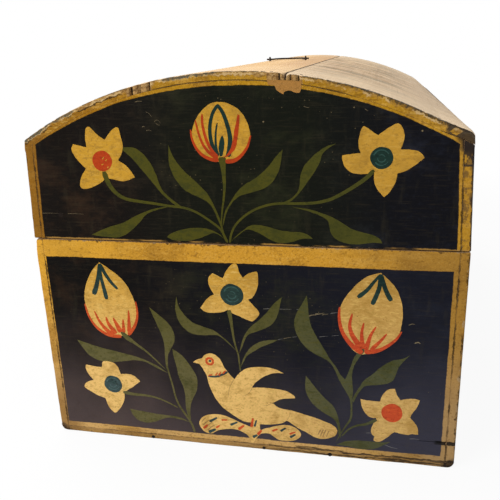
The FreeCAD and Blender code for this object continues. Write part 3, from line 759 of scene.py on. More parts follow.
def worn_top_end(name):
    """The boards' sawn ends: ochre, worn to brown wood, with grey-green paint along the upper arris.

    At the photographed end the wood has broken out bare beside the joint and in one more place.
    """
    f = Finish(name)
    depth = dome_radius - from_axis(f, over_centre(f))
    ragged = (f.cloud(0.22, 5, 0.72) - 0.5) * 9
    slow = f.cloud(0.035)
    chips = f.cloud(0.5, 5, 0.78)
    f.colour = ochre_border(f)
    grain = f.mix(f.fade(chips, 0.42, 0.6), "#a98553", "#6d4d2b")
    worn_brown = f.fade(depth + ragged + slow * 4, 4.6, 3.6) * (0.75 - f.fade(f.y, 30, 50) * 0.4)
    f.coat(worn_brown, grain)
    fibrous = f.cloud(0.6, 4, 0.7, stretch=(1, 0.18, 1))
    f.coat(f.fade(fibrous, 0.52, 0.66) * 0.6, "#6b4712")
    f.coat(f.fade(fibrous, 0.45, 0.34) * 0.4, "#d3ac55")
    photographed = f.fade(f.x, 0, 10)
    beside_joint = f.fade(abs(f.y - joint_break) + ragged * 0.15, 10.4, 9.4)
    broken = beside_joint.most(f.fade(abs(f.y - front_break) + ragged * 0.5, 8.4, 7))
    f.coat(broken * photographed * 0.9, grain)
    flakes = f.fade(abs(depth + ragged * 0.8 - 1.6), 0.8, 0.2)
    f.coat(flakes * f.fade(f.cloud(0.09), 0.46, 0.54) * 0.75, "#c9ab78")
    rim_width = 0.5 + f.fade(slow, 0.5, 0.57) * f.fade(f.y, 25, 0) * 1.1 + f.fade(f.y, 40, 75) * 0.5
    rim = f.fade(depth + ragged * 0.7 - rim_width, 0.5, -0.1) * f.fade(slow, 0.36, 0.44)
    rim = rim * (1 - broken * photographed) * (0.35 + f.fade(chips, 0.56, 0.46) * 0.65)
    f.coat(rim * 0.9, f.mix(f.fade(f.y, 20, 60), "#3f433a", "#2a2a25"))
    # Near-black in the open joint under the boards and in the fissures. In the splits, where the back board
    # has sprung up and where a splinter is missing, it is painted shade.
    open_joint = f.fade(abs(f.y - 10), 64, 48).most(f.fade(f.y, 113, 118))
    cracks_and_shade = f.fade(depth, top_thickness - 0.6, top_thickness - 0.2) * open_joint * 0.85
    fissures = f.fade(abs(depth - 2.6 + ragged * 0.5), 0.45, 0.15) * f.fade(f.y, -40, -75)
    cracks_and_shade = cracks_and_shade.most(fissures * f.fade(f.cloud(0.08), 0.46, 0.54) * 0.85)
    for split, half_split in splits:
        at_split = f.fade(abs(f.y - split) + ragged * 0.03, half_split * 0.55, half_split * 0.2)
        cracks_and_shade = cracks_and_shade.most(at_split * photographed)
    gap = f.fade(abs(f.y - joint_hole), 2.6, 1.8) * f.fade(depth, top_thickness - 1.6, top_thickness - 1)
    f.coat(cracks_and_shade.most(gap * photographed) * 0.95, "#120a07")
    # Darker over the back end of the arch, apart from one flake of paint.
    from_flake = abs(f.y - last_flake[0]) * 0.7 + abs(f.z - last_flake[1])
    flake = f.fade(from_flake + ragged * 0.4, 2.6, 2)
    far_darkening = f.fade(f.y + ragged * 0.6, 116.5, 119) * (1 - flake * 0.9) * photographed
    f.coat(far_darkening * 0.9, "#2b2724")
    return f.surface(0.62 + slow * 0.25, ragged * 0.1 - cracks_and_shade, depth=0.3, specular=0.1)


top_wood = worn_top("worn_top_wood")
top_end = worn_top_end("worn_top_end")
TOP_FACE, TOP_END, TOP_UNDER = 0, 1, 2


def top_finish(axis, side):
    """The boards are bare below, and painted on their sawn ends."""
    if axis == 0:
        return TOP_END
    return TOP_UNDER if axis == 2 and side < 0 else TOP_FACE


for side_name, facing in (("front", -1), ("back", 1)):
    joint_edge = joint_place + facing * joint_gap / 2
    first, last = sorted(math.asin(edge / dome_radius) for edge in (facing * eave_outside, joint_edge))
    way_over = (last - first) * dome_radius

    def bent(point):
        """Carries the flat board to the dome. Y is the way over the dome, and Z the thickness.

        The splits open, the back board follows the lid's twist and springs up at one corner.
        """
        radius = under_radius + point.z
        eave = facing * (eave_under + (eave_outside - eave_under) * point.z / top_thickness)
        low, high = sorted(math.asin(edge / radius) for edge in (eave, joint_edge))
        angle = low + (high - low) * point.y / way_over
        across = radius * math.sin(angle)
        opened = max(1 - abs(across - split) / half_split for split, half_split in splits)
        inward = split_depth * max(0, opened) * max(0, 1 - (end_face - point.x) / split_reach)
        at_corner = ease((across - sprung_across) / 8) * ease((point.x - sprung_along) / 60)
        risen = warp(point.x, across) + sprung * at_corner
        return Vector((point.x - inward, across, dome_centre + radius * math.cos(angle) + risen))

    def top_arris(point):
        """The boards' ends are knocked ragged along the upper arris, and rounded at the joint."""
        if point.z < top_thickness / 2:
            return joint_arris(point)
        across = dome_radius * math.sin(first + (last - first) * point.y / way_over)
        at_end = max(0, 1 - (end_face - abs(point.x)) / ragged_reach)
        at_end *= 1 + ease((across - worn_across) / worn_fade)
        at_joint = max(0, 1 - abs(across - joint_place) / joint_reach)
        ragged = 0.4 + 0.8 * noise.noise(point * 0.21) + 0.6 * noise.noise(point * 0.63) + 1.4 * at_joint
        return soft_arris(point) + at_end * max(0, ragged)

    board(
        f"lid_top_{side_name}_board_worn", f"lid_top_{side_name}_board", "lid",
        (-end_face, 0, 0), (end_face, way_over, top_thickness), spacing=(8, 1, 2),
        finishes=[top_wood, top_end, long_wood],
        finish_of=top_finish, bend=bent, arris=top_arris,
    )

# Ornament of the right end: tulips, star flowers, leaves and a dove, the common figures of painted
# country furniture, brushed on in four colours of oil paint. Each colour is a thin film on the boards.
brush_steps = 4
arc_steps = 6
disc_steps = 28
ragged_edge = 0.22
noise.seed_set(7)  # vector noise starts from the clock without a seed


def smooth(points):
    """Points along a brush edge through the given points, without the last one."""
    run = [Vector(point) for point in points]
    run = [2 * run[0] - run[1], *run, 2 * run[-1] - run[-2]]
    edge = []
    for before, start, end, after in zip(run, run[1:], run[2:], run[3:]):
        for step in range(brush_steps):
            share = step / brush_steps
            bend_in = 2 * before - 5 * start + 4 * end - after
            bend_out = 3 * start - before - 3 * end + after
            twice = 2 * start + (end - before) * share + bend_in * share ** 2 + bend_out * share ** 3
            edge.append(twice / 2)
    return edge


def outline(*runs):
    """A closed shape of smooth runs. Each starts where the one before it ended, with a sharp corner there."""
    edge = []
    start = runs[-1][-1]
    for run in runs:
        edge += smooth([start, *run])
        start = run[-1]
    return [point + ragged_edge * noise.noise_vector(point.to_3d() * 0.55).to_2d() for point in edge]


def stroke(points, start_width, end_width, hurry=1):
    """A brush stroke from one width to the other with blunt ends. More hurry thins it sooner."""
    line = [*smooth(points), Vector(points[-1])]
    left, right = [], []
    for index, point in enumerate(line):
        ahead = line[min(index + 1, len(line) - 1)] - line[max(index - 1, 0)]
        share = 1 - (1 - index / (len(line) - 1)) ** hurry
        blunt = 0.6 if index in (0, len(line) - 1) else 1
        half = (start_width + (end_width - start_width) * share) * blunt / 2
        aside = Vector((-ahead.y, ahead.x)).normalized() * half
        left.append(point + aside)
        right.append(point - aside)
    return left + right[::-1]


def arc(centre, radius, start, end):
    """Points on part of a circle, from one angle in degrees to another."""
    angles = [math.radians(start + (end - start) * step / arc_steps) for step in range(arc_steps + 1)]
    return [(centre[0] + radius * math.cos(angle), centre[1] + radius * math.sin(angle)) for angle in angles]


def disc(centre, radius):
    """A round dab of paint, a little uneven."""
    edge = []
    for step in range(disc_steps):
        angle = step * math.tau / disc_steps
        uneven = 1 + 0.05 * noise.noise(Vector((math.cos(angle), math.sin(angle), centre[0])) * 1.6)
        edge.append(Vector(centre) + Vector((math.cos(angle), math.sin(angle))) * radius * uneven)
    return edge


def ornament_paint(name, upper, lower, to_back, shadow, light):
    """A brushed oil colour on the dark ground, greyer towards the foot, with grime and fine cracks."""
    f = Finish(name)
    brushed = f.cloud(0.7, 4, 0.65, stretch=(0.25, 0.25, 1))
    patches = f.cloud(0.06, 4, 0.6)
    grime = f.cloud(0.8, 5, 0.82, stretch=(0.7, 0.7, 1))
    f.colour = f.mix(f.fade(f.z, 145, 40), upper, lower)
    on_lid = above_seam(f)
    # Painted shade: each colour grows darker towards the back, and the leaves greener as well.
    f.coat(f.fade(f.y, -10, 80) * (0.5 - on_lid * 0.36), to_back)
    f.coat(f.fade(brushed, 0.48, 0.66) * (0.5 - on_lid * 0.36), light)
    f.coat(f.fade(patches, 0.5, 0.68) * 0.45, shadow)
    f.coat(f.fade(grime, 0.52, 0.66) * 0.75, shadow)
    stained = f.cloud(0.22, 5, 0.78, stretch=(0.5, 0.5, 1))
    f.coat(f.fade(stained, 0.5, 0.62) * (0.4 + on_lid * 0.3), shadow)
    dirt = f.specks(0.45, 0.22, 0.2).most(f.cracks(0.28, 0.03) * 0.12)
    f.coat(dirt * 0.7, "#33240f")
    return f.surface(0.5 + patches * 0.25, brushed + grime * 0.5 - dirt, depth=0.12, specular=0.08)


# The third colour of each is its painted shade towards the back.
petal_paint = ornament_paint("petal_cream", "#bd8d2a", "#e2b86e", "#a88550", "#96702a", "#e2be6e")
leaf_paint = ornament_paint("leaf_green", "#46430f", "#605a38", "#2d3d30", "#343612", "#534e1c")
flame_paint = ornament_paint("flame_red", "#a8380e", "#c9552a", "#b03a26", "#8a2d12", "#dc6a2e")
teal_paint = ornament_paint("deep_teal", "#162c25", "#3b4b4b", "#16302a", "#0f1f1b", "#324a41")
pale_teal_paint = ornament_paint("pale_teal", "#2c4a43", "#4c605f", "#2c4a43", "#17312b", "#44605a")
line_paint = ornament_paint("brown_line", "#97702d", "#a58250", "#8f724a", "#6f5529", "#b08d58")
worn_paint = ornament_paint("worn_line", "#6d5f45", "#77694f", "#6f664f", "#4b4234", "#8d7d5e")
bare_patch = ornament_paint("bare_patch", "#a27338", "#a27338", "#a47640", "#86602f", "#b98d58")
scuff_paint = ornament_paint("pale_scuff", "#6f6a58", "#767470", "#6c6c70", "#4e4c49", "#86837c")
dark_mark = ornament_paint("dark_mark", "#1a120d", "#1d1713", "#1a1512", "#0e0907", "#2c211a")
paint_depth = 0.3
# How far each film stands off its board. What was brushed on later lies higher.
wear_lift, leaf_lift, petal_lift, line_lift, stem_lift = 0.02, 0.05, 0.08, 0.1, 0.11
teal_lift, red_lift, heart_lift, dab_lift = 0.14, 0.15, 0.16, 0.18
joint_lift, spot_lift, patch_lift, stain_lift = 0.015, 0.03, 0.06, 0.12
stroke_lift = 0.0004  # one stroke over the stroke before it


class Ornament:
    """The figures on one panel. place carries panel millimetres and a lift off the panel to the trunk."""

    def __init__(self, name, body, place):
        self.name = name
        self.body = body
        self.place = place
        self.shapes = {}
        self.move = straight

    def paint(self, finish, lift, *edges):
        """Adds closed shapes to the film of one colour."""
        shape, count = self.shapes.setdefault(finish.name, [bmesh.new(), 0])
        for edge in edges:
            count += 1
            edge = [self.move(point) for point in edge]
            height = lift + stroke_lift * count
            rings = [
                [shape.verts.new(Vector(self.place(point.x, point.y, level)) * MM) for point in edge]
                for level in (-paint_depth, height)
            ]
            for triangle in tessellate_polygon([[point.to_3d() for point in edge]]):
                for ring in rings:
                    shape.faces.new([ring[index] for index in triangle])
            for index in range(len(edge)):
                after = (index + 1) % len(edge)
                shape.faces.new((rings[0][index], rings[0][after], rings[1][after], rings[1][index]))
        self.shapes[finish.name][1] = count

    def leaves(self, *edges):
        self.paint(leaf_paint, leaf_lift, *edges)

    def petals(self, *edges):
        self.paint(petal_paint, petal_lift, *edges)

    def stems(self, *edges):
        self.paint(leaf_paint, stem_lift, *edges)

    def reds(self, *edges):
        self.paint(flame_paint, red_lift, *edges)

    def teals(self, *edges):
        self.paint(teal_paint, teal_lift, *edges)

    def teal_discs(self, radius, *centres):
        """Round teal flower hearts, with the paler marks that the turning brush left in them."""
        for centre in centres:
            self.teals(disc(centre, radius))
            self.paint(
                pale_teal_paint, heart_lift,
                stroke(arc(centre, radius * 0.72, 30, 160), 0.4, 0.9),
                stroke(arc(centre, radius * 0.66, 215, 330), 0.8, 0.4),
                stroke(arc(centre, radius * 0.36, 180, 350), 0.4, 0.7),
                stroke(arc(centre, radius * 0.3, 20, 130), 0.6, 0.3),
            )

    def dry(self):
        """Makes one piece of each colour."""
        for finish_name, (shape, _) in self.shapes.items():
            bmesh.ops.recalc_face_normals(shape, faces=shape.faces)
            mesh = mesh_of(f"{self.name}_{finish_name}", shape)
            mesh.materials.append(bpy.data.materials[finish_name])
            piece = linked(mesh.name, mesh)
            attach(piece, self.body)


def paint_lid_spray(art):
    """Five leafy stems from one root, with a tulip in the middle and a star flower at each side."""
    art.petals(
        outline(
            [(-91.2, 209), (-90.3, 214), (-88.7, 215.6), (-87, 214.8), (-83, 210.8), (-78.7, 207.7)],
            [(-75, 212.3), (-71.2, 214.9), (-69.2, 214.3), (-68.2, 209), (-67.4, 204.6), (-68.8, 199.5),
             (-71.5, 195.5)],
            [(-65.8, 191.5), (-61.6, 185.2)],
            [(-69, 182.7), (-77, 184), (-80.6, 184.3)],
            [(-86, 180.5), (-94.3, 177.6), (-98, 179), (-97, 184.5), (-93, 190.3)],
            [(-98, 195.5), (-101, 201.5), (-99.7, 205.3)],
            [(-95, 204.2), (-91, 203.3)],
        ),
        outline(
            [(78.5, 212), (74.5, 214.6), (72.8, 213), (71.5, 208), (71.5, 203.5), (72.8, 200)],
            [(68, 199.6), (62.6, 198.7)],
            [(62.7, 196), (64.3, 192), (68, 189), (73, 188.2), (78.3, 188.6), (80.3, 190)],
            [(80.5, 184), (81.8, 180.5), (84, 177.5), (86.2, 175.3)],
            [(88.5, 177.5), (91.3, 182), (92.8, 186.5), (92.8, 188.6)],
            [(97, 190), (102, 193.2), (107, 197.5)],
            [(105, 200.2), (101.5, 201.6), (96, 202), (94, 202.2)],
            [(95.6, 206.5), (95.8, 210), (94.7, 213.5), (93, 215.8), (90.5, 215.6), (86.5, 213.2),
             (82, 209.8)],
        ),
        outline(
            [(-3, 228.3), (3, 225.5), (7.5, 220.5), (10, 214), (10.4, 209.5), (8, 203), (4.5, 198.5),
             (0, 195.2), (-4, 194.2), (-8, 194.8), (-13, 195.8), (-18, 198.5), (-22, 203.5), (-24, 209.5),
             (-23.5, 214), (-21, 219.5), (-17, 224.5), (-12.5, 227.8), (-8, 229)],
        ),
    )
    art.leaves(
        outline(
            [(-62, 203.3), (-57, 201), (-52, 195.5), (-48.5, 188.5), (-46.2, 180.5), (-43.5, 176), (-38, 171),
             (-32.5, 167)],
            [(-33.5, 166.3), (-39.5, 170), (-45.5, 175.5), (-49, 180), (-54.5, 187), (-61, 195),
             (-66.5, 200.5), (-70.5, 203)],
        ),
        outline(
            [(-37.5, 200.5), (-34.5, 194.5), (-29, 188), (-22, 181.5), (-17, 176), (-13.8, 170.5),
             (-11.5, 165), (-9.5, 159.5), (-8.2, 152)],
            [(-9.6, 156), (-11.6, 161.5), (-14, 167), (-17.5, 171), (-23, 173.8), (-29.5, 177), (-34.5, 182),
             (-38, 188.5), (-39.3, 195), (-38.9, 205)],
        ),
        outline(
            [(-88, 151), (-80, 154), (-72, 156.5), (-65, 160.3), (-58, 163.3), (-50, 166), (-40, 167.6)],
            [(-50, 164.8), (-56.5, 162), (-60.5, 157.5), (-66, 152.5), (-71, 148.8), (-77, 146.6),
             (-84, 146.8), (-90, 147.2), (-94.2, 148)],
        ),
        outline(
            [(-40.5, 150.7), (-33, 153.2), (-24, 154.4), (-17, 153.7), (-11, 151), (-7.5, 147.8),
             (-5.2, 145.4)],
            [(-8, 148.2), (-12, 150.8), (-15, 151.2), (-19, 149.5), (-24, 147.5), (-30, 146), (-36, 145.8),
             (-40.5, 146.3), (-44.3, 148)],
        ),
        outline(
            [(25, 198), (20, 191.5), (13, 185.5), (6, 181.3), (1.5, 177), (-2, 172), (-5, 167.5), (-7, 163),
             (-8.4, 155)],
            [(-7.2, 158), (-5.6, 163.6), (-2.8, 169), (0.5, 172.7), (4, 175), (11, 177), (18, 179.5),
             (23, 183.5), (26.5, 189.5), (28.2, 196.5), (29, 202)],
        ),
        outline(
            [(53, 203.3), (46.5, 198.5), (41.5, 193), (39, 187), (38.6, 181.5), (37.2, 177.5), (34, 174),
             (29, 171.3)],
            [(32, 171.1), (36, 174.2), (39, 177.8), (42.5, 182.5), (46.5, 188.5), (50, 194.5), (51.3, 199),
             (54, 202), (59, 205.3)],
        ),
        outline(
            [(44, 167.4), (50.5, 165.4), (56, 163.5), (62, 160.3), (68, 156.5), (74, 154.5), (80, 153),
             (84.5, 150.8), (86, 148)],
            [(81, 148.2), (73, 147), (66, 147.2), (60, 149.5), (56.5, 153.5), (55.5, 158), (54.5, 161),
             (50, 163.8), (44, 166), (34, 168.6)],
        ),
        outline(
            [(0, 150), (4, 153.5), (9, 156.7), (14, 157.1), (20, 156), (26, 154.3), (33, 153.5), (40, 153.2),
             (44.5, 151), (46, 149.5)],
            [(40, 149.3), (33, 147), (27, 146.3), (21, 148), (16, 151), (10, 153.7), (6, 154), (2, 151),
             (-1.5, 148), (-4, 145.6)],
        ),
    )
    art.stems(
        stroke([(-81.5, 188.5), (-79, 181), (-75, 175.5), (-69, 171.8), (-60, 170.2), (-50, 169),
                (-42, 167.8), (-32, 166.8), (-24, 164), (-16, 159), (-10, 154.2), (-7.3, 149.5),
                (-5.6, 145.6)], 3.6, 1.4, 4),
        stroke([(-6.8, 197.6), (-6.4, 193.5), (-6.1, 188), (-6, 180), (-6.9, 172), (-8.1, 165), (-8.9, 158),
                (-8.8, 153)], 5.2, 0.9, 3),
        stroke([(-9, 156), (-8, 151), (-6, 146)], 1.2, 1.6),
        stroke([(80.2, 190.5), (76, 186), (70, 181.5), (63, 177), (57, 173.8), (51, 171.9), (45, 171),
                (36, 170.6), (28, 170.6), (21, 169.7), (14, 167.5), (8, 164.3), (3, 160.3), (-1, 155.6),
                (-3.3, 150.4), (-4.2, 145.6)], 2.4, 1.3, 2),
    )
    art.reds(
        disc((-81.8, 195), 6.3),
        stroke([(-24.6, 213.5), (-24.2, 208.5), (-22, 203), (-18.3, 198.7), (-13, 196.2),
                (-8.8, 195.8)], 0.9, 2.4),
        stroke([(-21.5, 218.8), (-20, 211.5), (-17.5, 204.5), (-13.5, 199.5), (-9.2, 196.8)], 0.9, 2.2),
        stroke([(-17.3, 222.2), (-17.2, 215), (-15.3, 207), (-12.3, 201), (-9.2, 197.5)], 1.3, 2.2),
        outline(
            [(1.8, 214.5), (0.4, 208), (-1, 203), (-3.4, 199.5), (-6.2, 197)],
            [(-2, 198.8), (1.6, 202.7), (2.9, 208), (4.1, 214.5), (4.8, 221.6)],
            [(3.7, 222)],
        ),
        stroke([(10.8, 210), (8.6, 203.5), (4.8, 198.5), (0.5, 195.6), (-4.6, 195)], 0.9, 2.8),
    )
    art.teals(
        stroke([(-7.6, 227.4), (-11, 222.5), (-13, 215), (-12.8, 207.5), (-11, 201.5),
                (-9.3, 197.8)], 1.8, 2.5),
        stroke([(-8, 227.4), (-4.8, 222.5), (-2.4, 215), (-1.3, 208.5), (-2, 202), (-3, 197.8)], 2.0, 3.0),
        stroke([(-8.5, 217.2), (-9.6, 212), (-10, 206), (-9.6, 201), (-8.8, 198.5)], 0.8, 1.9),
        outline(
            [(-4.8, 207), (-5.2, 203), (-6.4, 198.6), (-7.9, 197.8)],
            [(-8.4, 202), (-7.9, 206), (-6.6, 209.2), (-5.6, 210)],
        ),
    )
    art.teal_discs(6.2, (84.1, 197.3))
    art.paint(
        petal_paint, dab_lift,
        stroke([(-81.4, 196), (-80.9, 196.9), (-80.2, 197.5)], 0.7, 0.4),
        stroke([(-79.5, 195), (-79, 195.7), (-78.6, 196.1)], 0.6, 0.3),
        stroke([(-82.4, 192.6), (-81.7, 192.9), (-81, 193.4)], 0.5, 0.4),
        stroke([(-78.9, 190.8), (-78.3, 191.3), (-77.8, 191.6)], 0.6, 0.3),
    )


def paint_left_plant(art):
    """A tulip bud over a star flower, on one stem with long leaves."""
    art.petals(
        outline(
            [(-86, 126), (-80, 121.5), (-75, 116), (-71.5, 109), (-69.6, 102), (-69.3, 96), (-70.2, 90),
             (-72.5, 84), (-76, 79.5), (-80, 78.6), (-84, 77.7), (-89, 78), (-94, 80), (-98.5, 84),
             (-102, 90), (-104, 96), (-104.8, 103), (-104, 109), (-101.5, 116), (-97.5, 123), (-91.4, 129.6)],
        ),
        outline(
            [(-97.7, 56), (-96.5, 58.2), (-91, 58), (-88, 56.5), (-86, 53.2), (-85, 49)],
            [(-80, 49.7), (-76, 49), (-72.5, 46), (-71.5, 44.6)],
            [(-74, 42.5), (-78, 39.3), (-83.5, 35.5)],
            [(-84.2, 30), (-86, 25.5), (-89, 21), (-91.5, 18.6), (-93.3, 18.8), (-96, 22), (-97.5, 26),
             (-98.3, 29.5)],
            [(-103, 30.8), (-108, 33.5), (-112, 36), (-113, 37.5), (-111.8, 40), (-109, 41.8),
             (-105.5, 42.8)],
            [(-108.5, 47), (-110.3, 51), (-109.8, 54.3), (-107.5, 54.2), (-103, 53.6), (-98.3, 53.5)],
        ),
    )
    art.leaves(
        outline(
            [(-108, 71.3), (-100, 69), (-90, 67), (-80, 65), (-72, 63.3), (-65, 61), (-57, 57),
             (-50.5, 52.6)],
            [(-58, 55.8), (-66, 59.8), (-74, 60.7), (-80, 59.5), (-88, 58.2), (-95, 58), (-101, 59),
             (-106.5, 62), (-110, 66.5), (-114, 73.2)],
        ),
        outline(
            [(-54, 95), (-49, 90.5), (-45.5, 85.5), (-44.2, 80), (-45.2, 75), (-48, 70), (-50, 65),
             (-50.4, 56)],
            [(-51.6, 56), (-52, 64), (-51.8, 71), (-52.5, 78.5), (-55, 86), (-58, 94), (-60, 100)],
        ),
        outline(
            [(-41, 67.5), (-35.5, 60.5), (-31.5, 53), (-30.7, 47), (-31.8, 40.5), (-35, 34), (-37, 27),
             (-37.3, 18)],
            [(-38.8, 20), (-40, 28), (-40, 37), (-41, 44), (-43.5, 51), (-44.5, 58), (-46, 66), (-46.5, 71)],
        ),
        outline(
            [(-74, 21.7), (-66, 20.8), (-59, 20.2), (-50, 20), (-43, 18.8), (-38, 16)],
            [(-44, 17.6), (-52, 18.4), (-58, 16.5), (-64, 13.7), (-70, 12.6), (-75, 13.8), (-78.5, 17),
             (-81, 22.5)],
        ),
    )
    art.stems(
        outline(
            [(-80.5, 82), (-76.5, 78.6), (-71, 73.6), (-64, 68), (-57, 61), (-51, 54.2)],
            [(-57.6, 60.2), (-64.6, 66.8), (-71.6, 71.8), (-76.5, 74.6), (-79.5, 76.8), (-81.8, 80.4)],
        ),
        stroke([(-51, 58), (-50, 52), (-48.3, 44), (-47, 36), (-45, 29.5), (-42, 24), (-38.5, 18.5),
                (-36.2, 13.5), (-35, 8.6)], 1.0, 1.6),
        stroke([(-84.5, 35.4), (-77, 34.4), (-68, 34.2), (-60, 33), (-52, 30), (-46, 27)], 2.8, 0.9, 2),
    )
    art.teal_discs(6.5, (-91.3, 41))
    art.teals(
        stroke([(-91.5, 128.6), (-92.8, 121), (-95.2, 113), (-97.8, 107)], 2.0, 3.6),
        stroke([(-91.6, 128.6), (-91.2, 119), (-90, 111), (-89, 104)], 1.8, 3.0),
        stroke([(-91.2, 128.6), (-88, 121.5), (-84.5, 116), (-80.6, 111.6)], 2.6, 1.9),
    )
    art.reds(
        stroke([(-105, 100), (-103.4, 92), (-99.8, 85), (-95, 80.5), (-89, 77.9), (-81.5, 77.7)], 1.0, 2.6),
        stroke([(-98.8, 95), (-96, 88), (-91.5, 81.8), (-86.5, 78.8)], 0.9, 3.6),
        stroke([(-91, 91.4), (-89.5, 86), (-85, 79.6)], 1.0, 3.6),
        stroke([(-86, 91), (-84, 86.5), (-81.6, 80.8)], 0.9, 4.0),
        stroke([(-79, 90.4), (-79.2, 86), (-79.4, 80.8)], 0.9, 2.8),
        stroke([(-74.5, 97), (-75, 89), (-75.6, 80.2)], 0.9, 3.2),
        stroke([(-69, 103.4), (-68.6, 95), (-70.3, 88), (-73.2, 83), (-76.4, 79.2)], 1.0, 2.6),
    )


def paint_middle_flower(art):
    """A star flower with three leaves, on a stem that rises behind the dove."""
    art.petals(
        outline(
            [(-7.5, 127), (-4.5, 131), (-2, 132.3), (-0.3, 131), (0.8, 126.5), (3, 123.2)],
            [(6.5, 126), (11.2, 127.5), (12.3, 126), (12.4, 120), (11, 114.5), (8.5, 110.3), (5.7, 108.8)],
            [(9, 105), (12.7, 99.8), (9.5, 95.3), (7, 94.2), (0, 97), (-4.5, 99), (-7.7, 101.2)],
            [(-11, 99.5), (-17.5, 98.5), (-22.5, 99), (-25.5, 101.3)],
            [(-22, 106.5), (-18.5, 109.8), (-16, 111.2)],
            [(-18.5, 116), (-19.3, 120), (-18.5, 123), (-16.3, 125.3)],
            [(-13, 123.8), (-9.8, 122.3)],
        ),
    )
    art.leaves(
        outline(
            [(-40, 102), (-36.5, 96), (-31, 90.8), (-24, 88.3), (-17.5, 86.3), (-12.5, 82.5), (-8, 78.5),
             (-3, 72.5)],
            [(-9, 78.4), (-13.5, 82.2), (-17, 83), (-23, 82.5), (-30, 82.5), (-35, 84.5), (-39.3, 89),
             (-41.7, 94.5), (-42.3, 101), (-41, 108.5)],
        ),
        outline(
            [(22, 107), (17.5, 101), (13, 96), (8, 91.5), (4.5, 87.5), (2, 83), (0.3, 78), (-1.2, 71)],
            [(1.2, 77), (3.2, 82), (5.5, 85), (10, 87), (16, 89.8), (20.5, 93), (24, 99), (25.5, 105),
             (27, 111.5)],
        ),
        outline(
            [(18, 81.8), (12, 80), (7, 76.5), (3.5, 72), (1, 67), (-0.7, 61)],
            [(1.7, 66), (4, 70), (9, 73.7), (14, 77), (20, 80), (24, 82.3)],
        ),
    )
    art.stems(
        stroke([(-6.9, 101), (-6, 95), (-5.3, 88), (-4.3, 80), (-3, 74), (-2, 70), (-1.5, 64),
                (-1, 58.5)], 3.4, 1.0, 4),
    )
    art.teal_discs(7.3, (-4.5, 111.5))


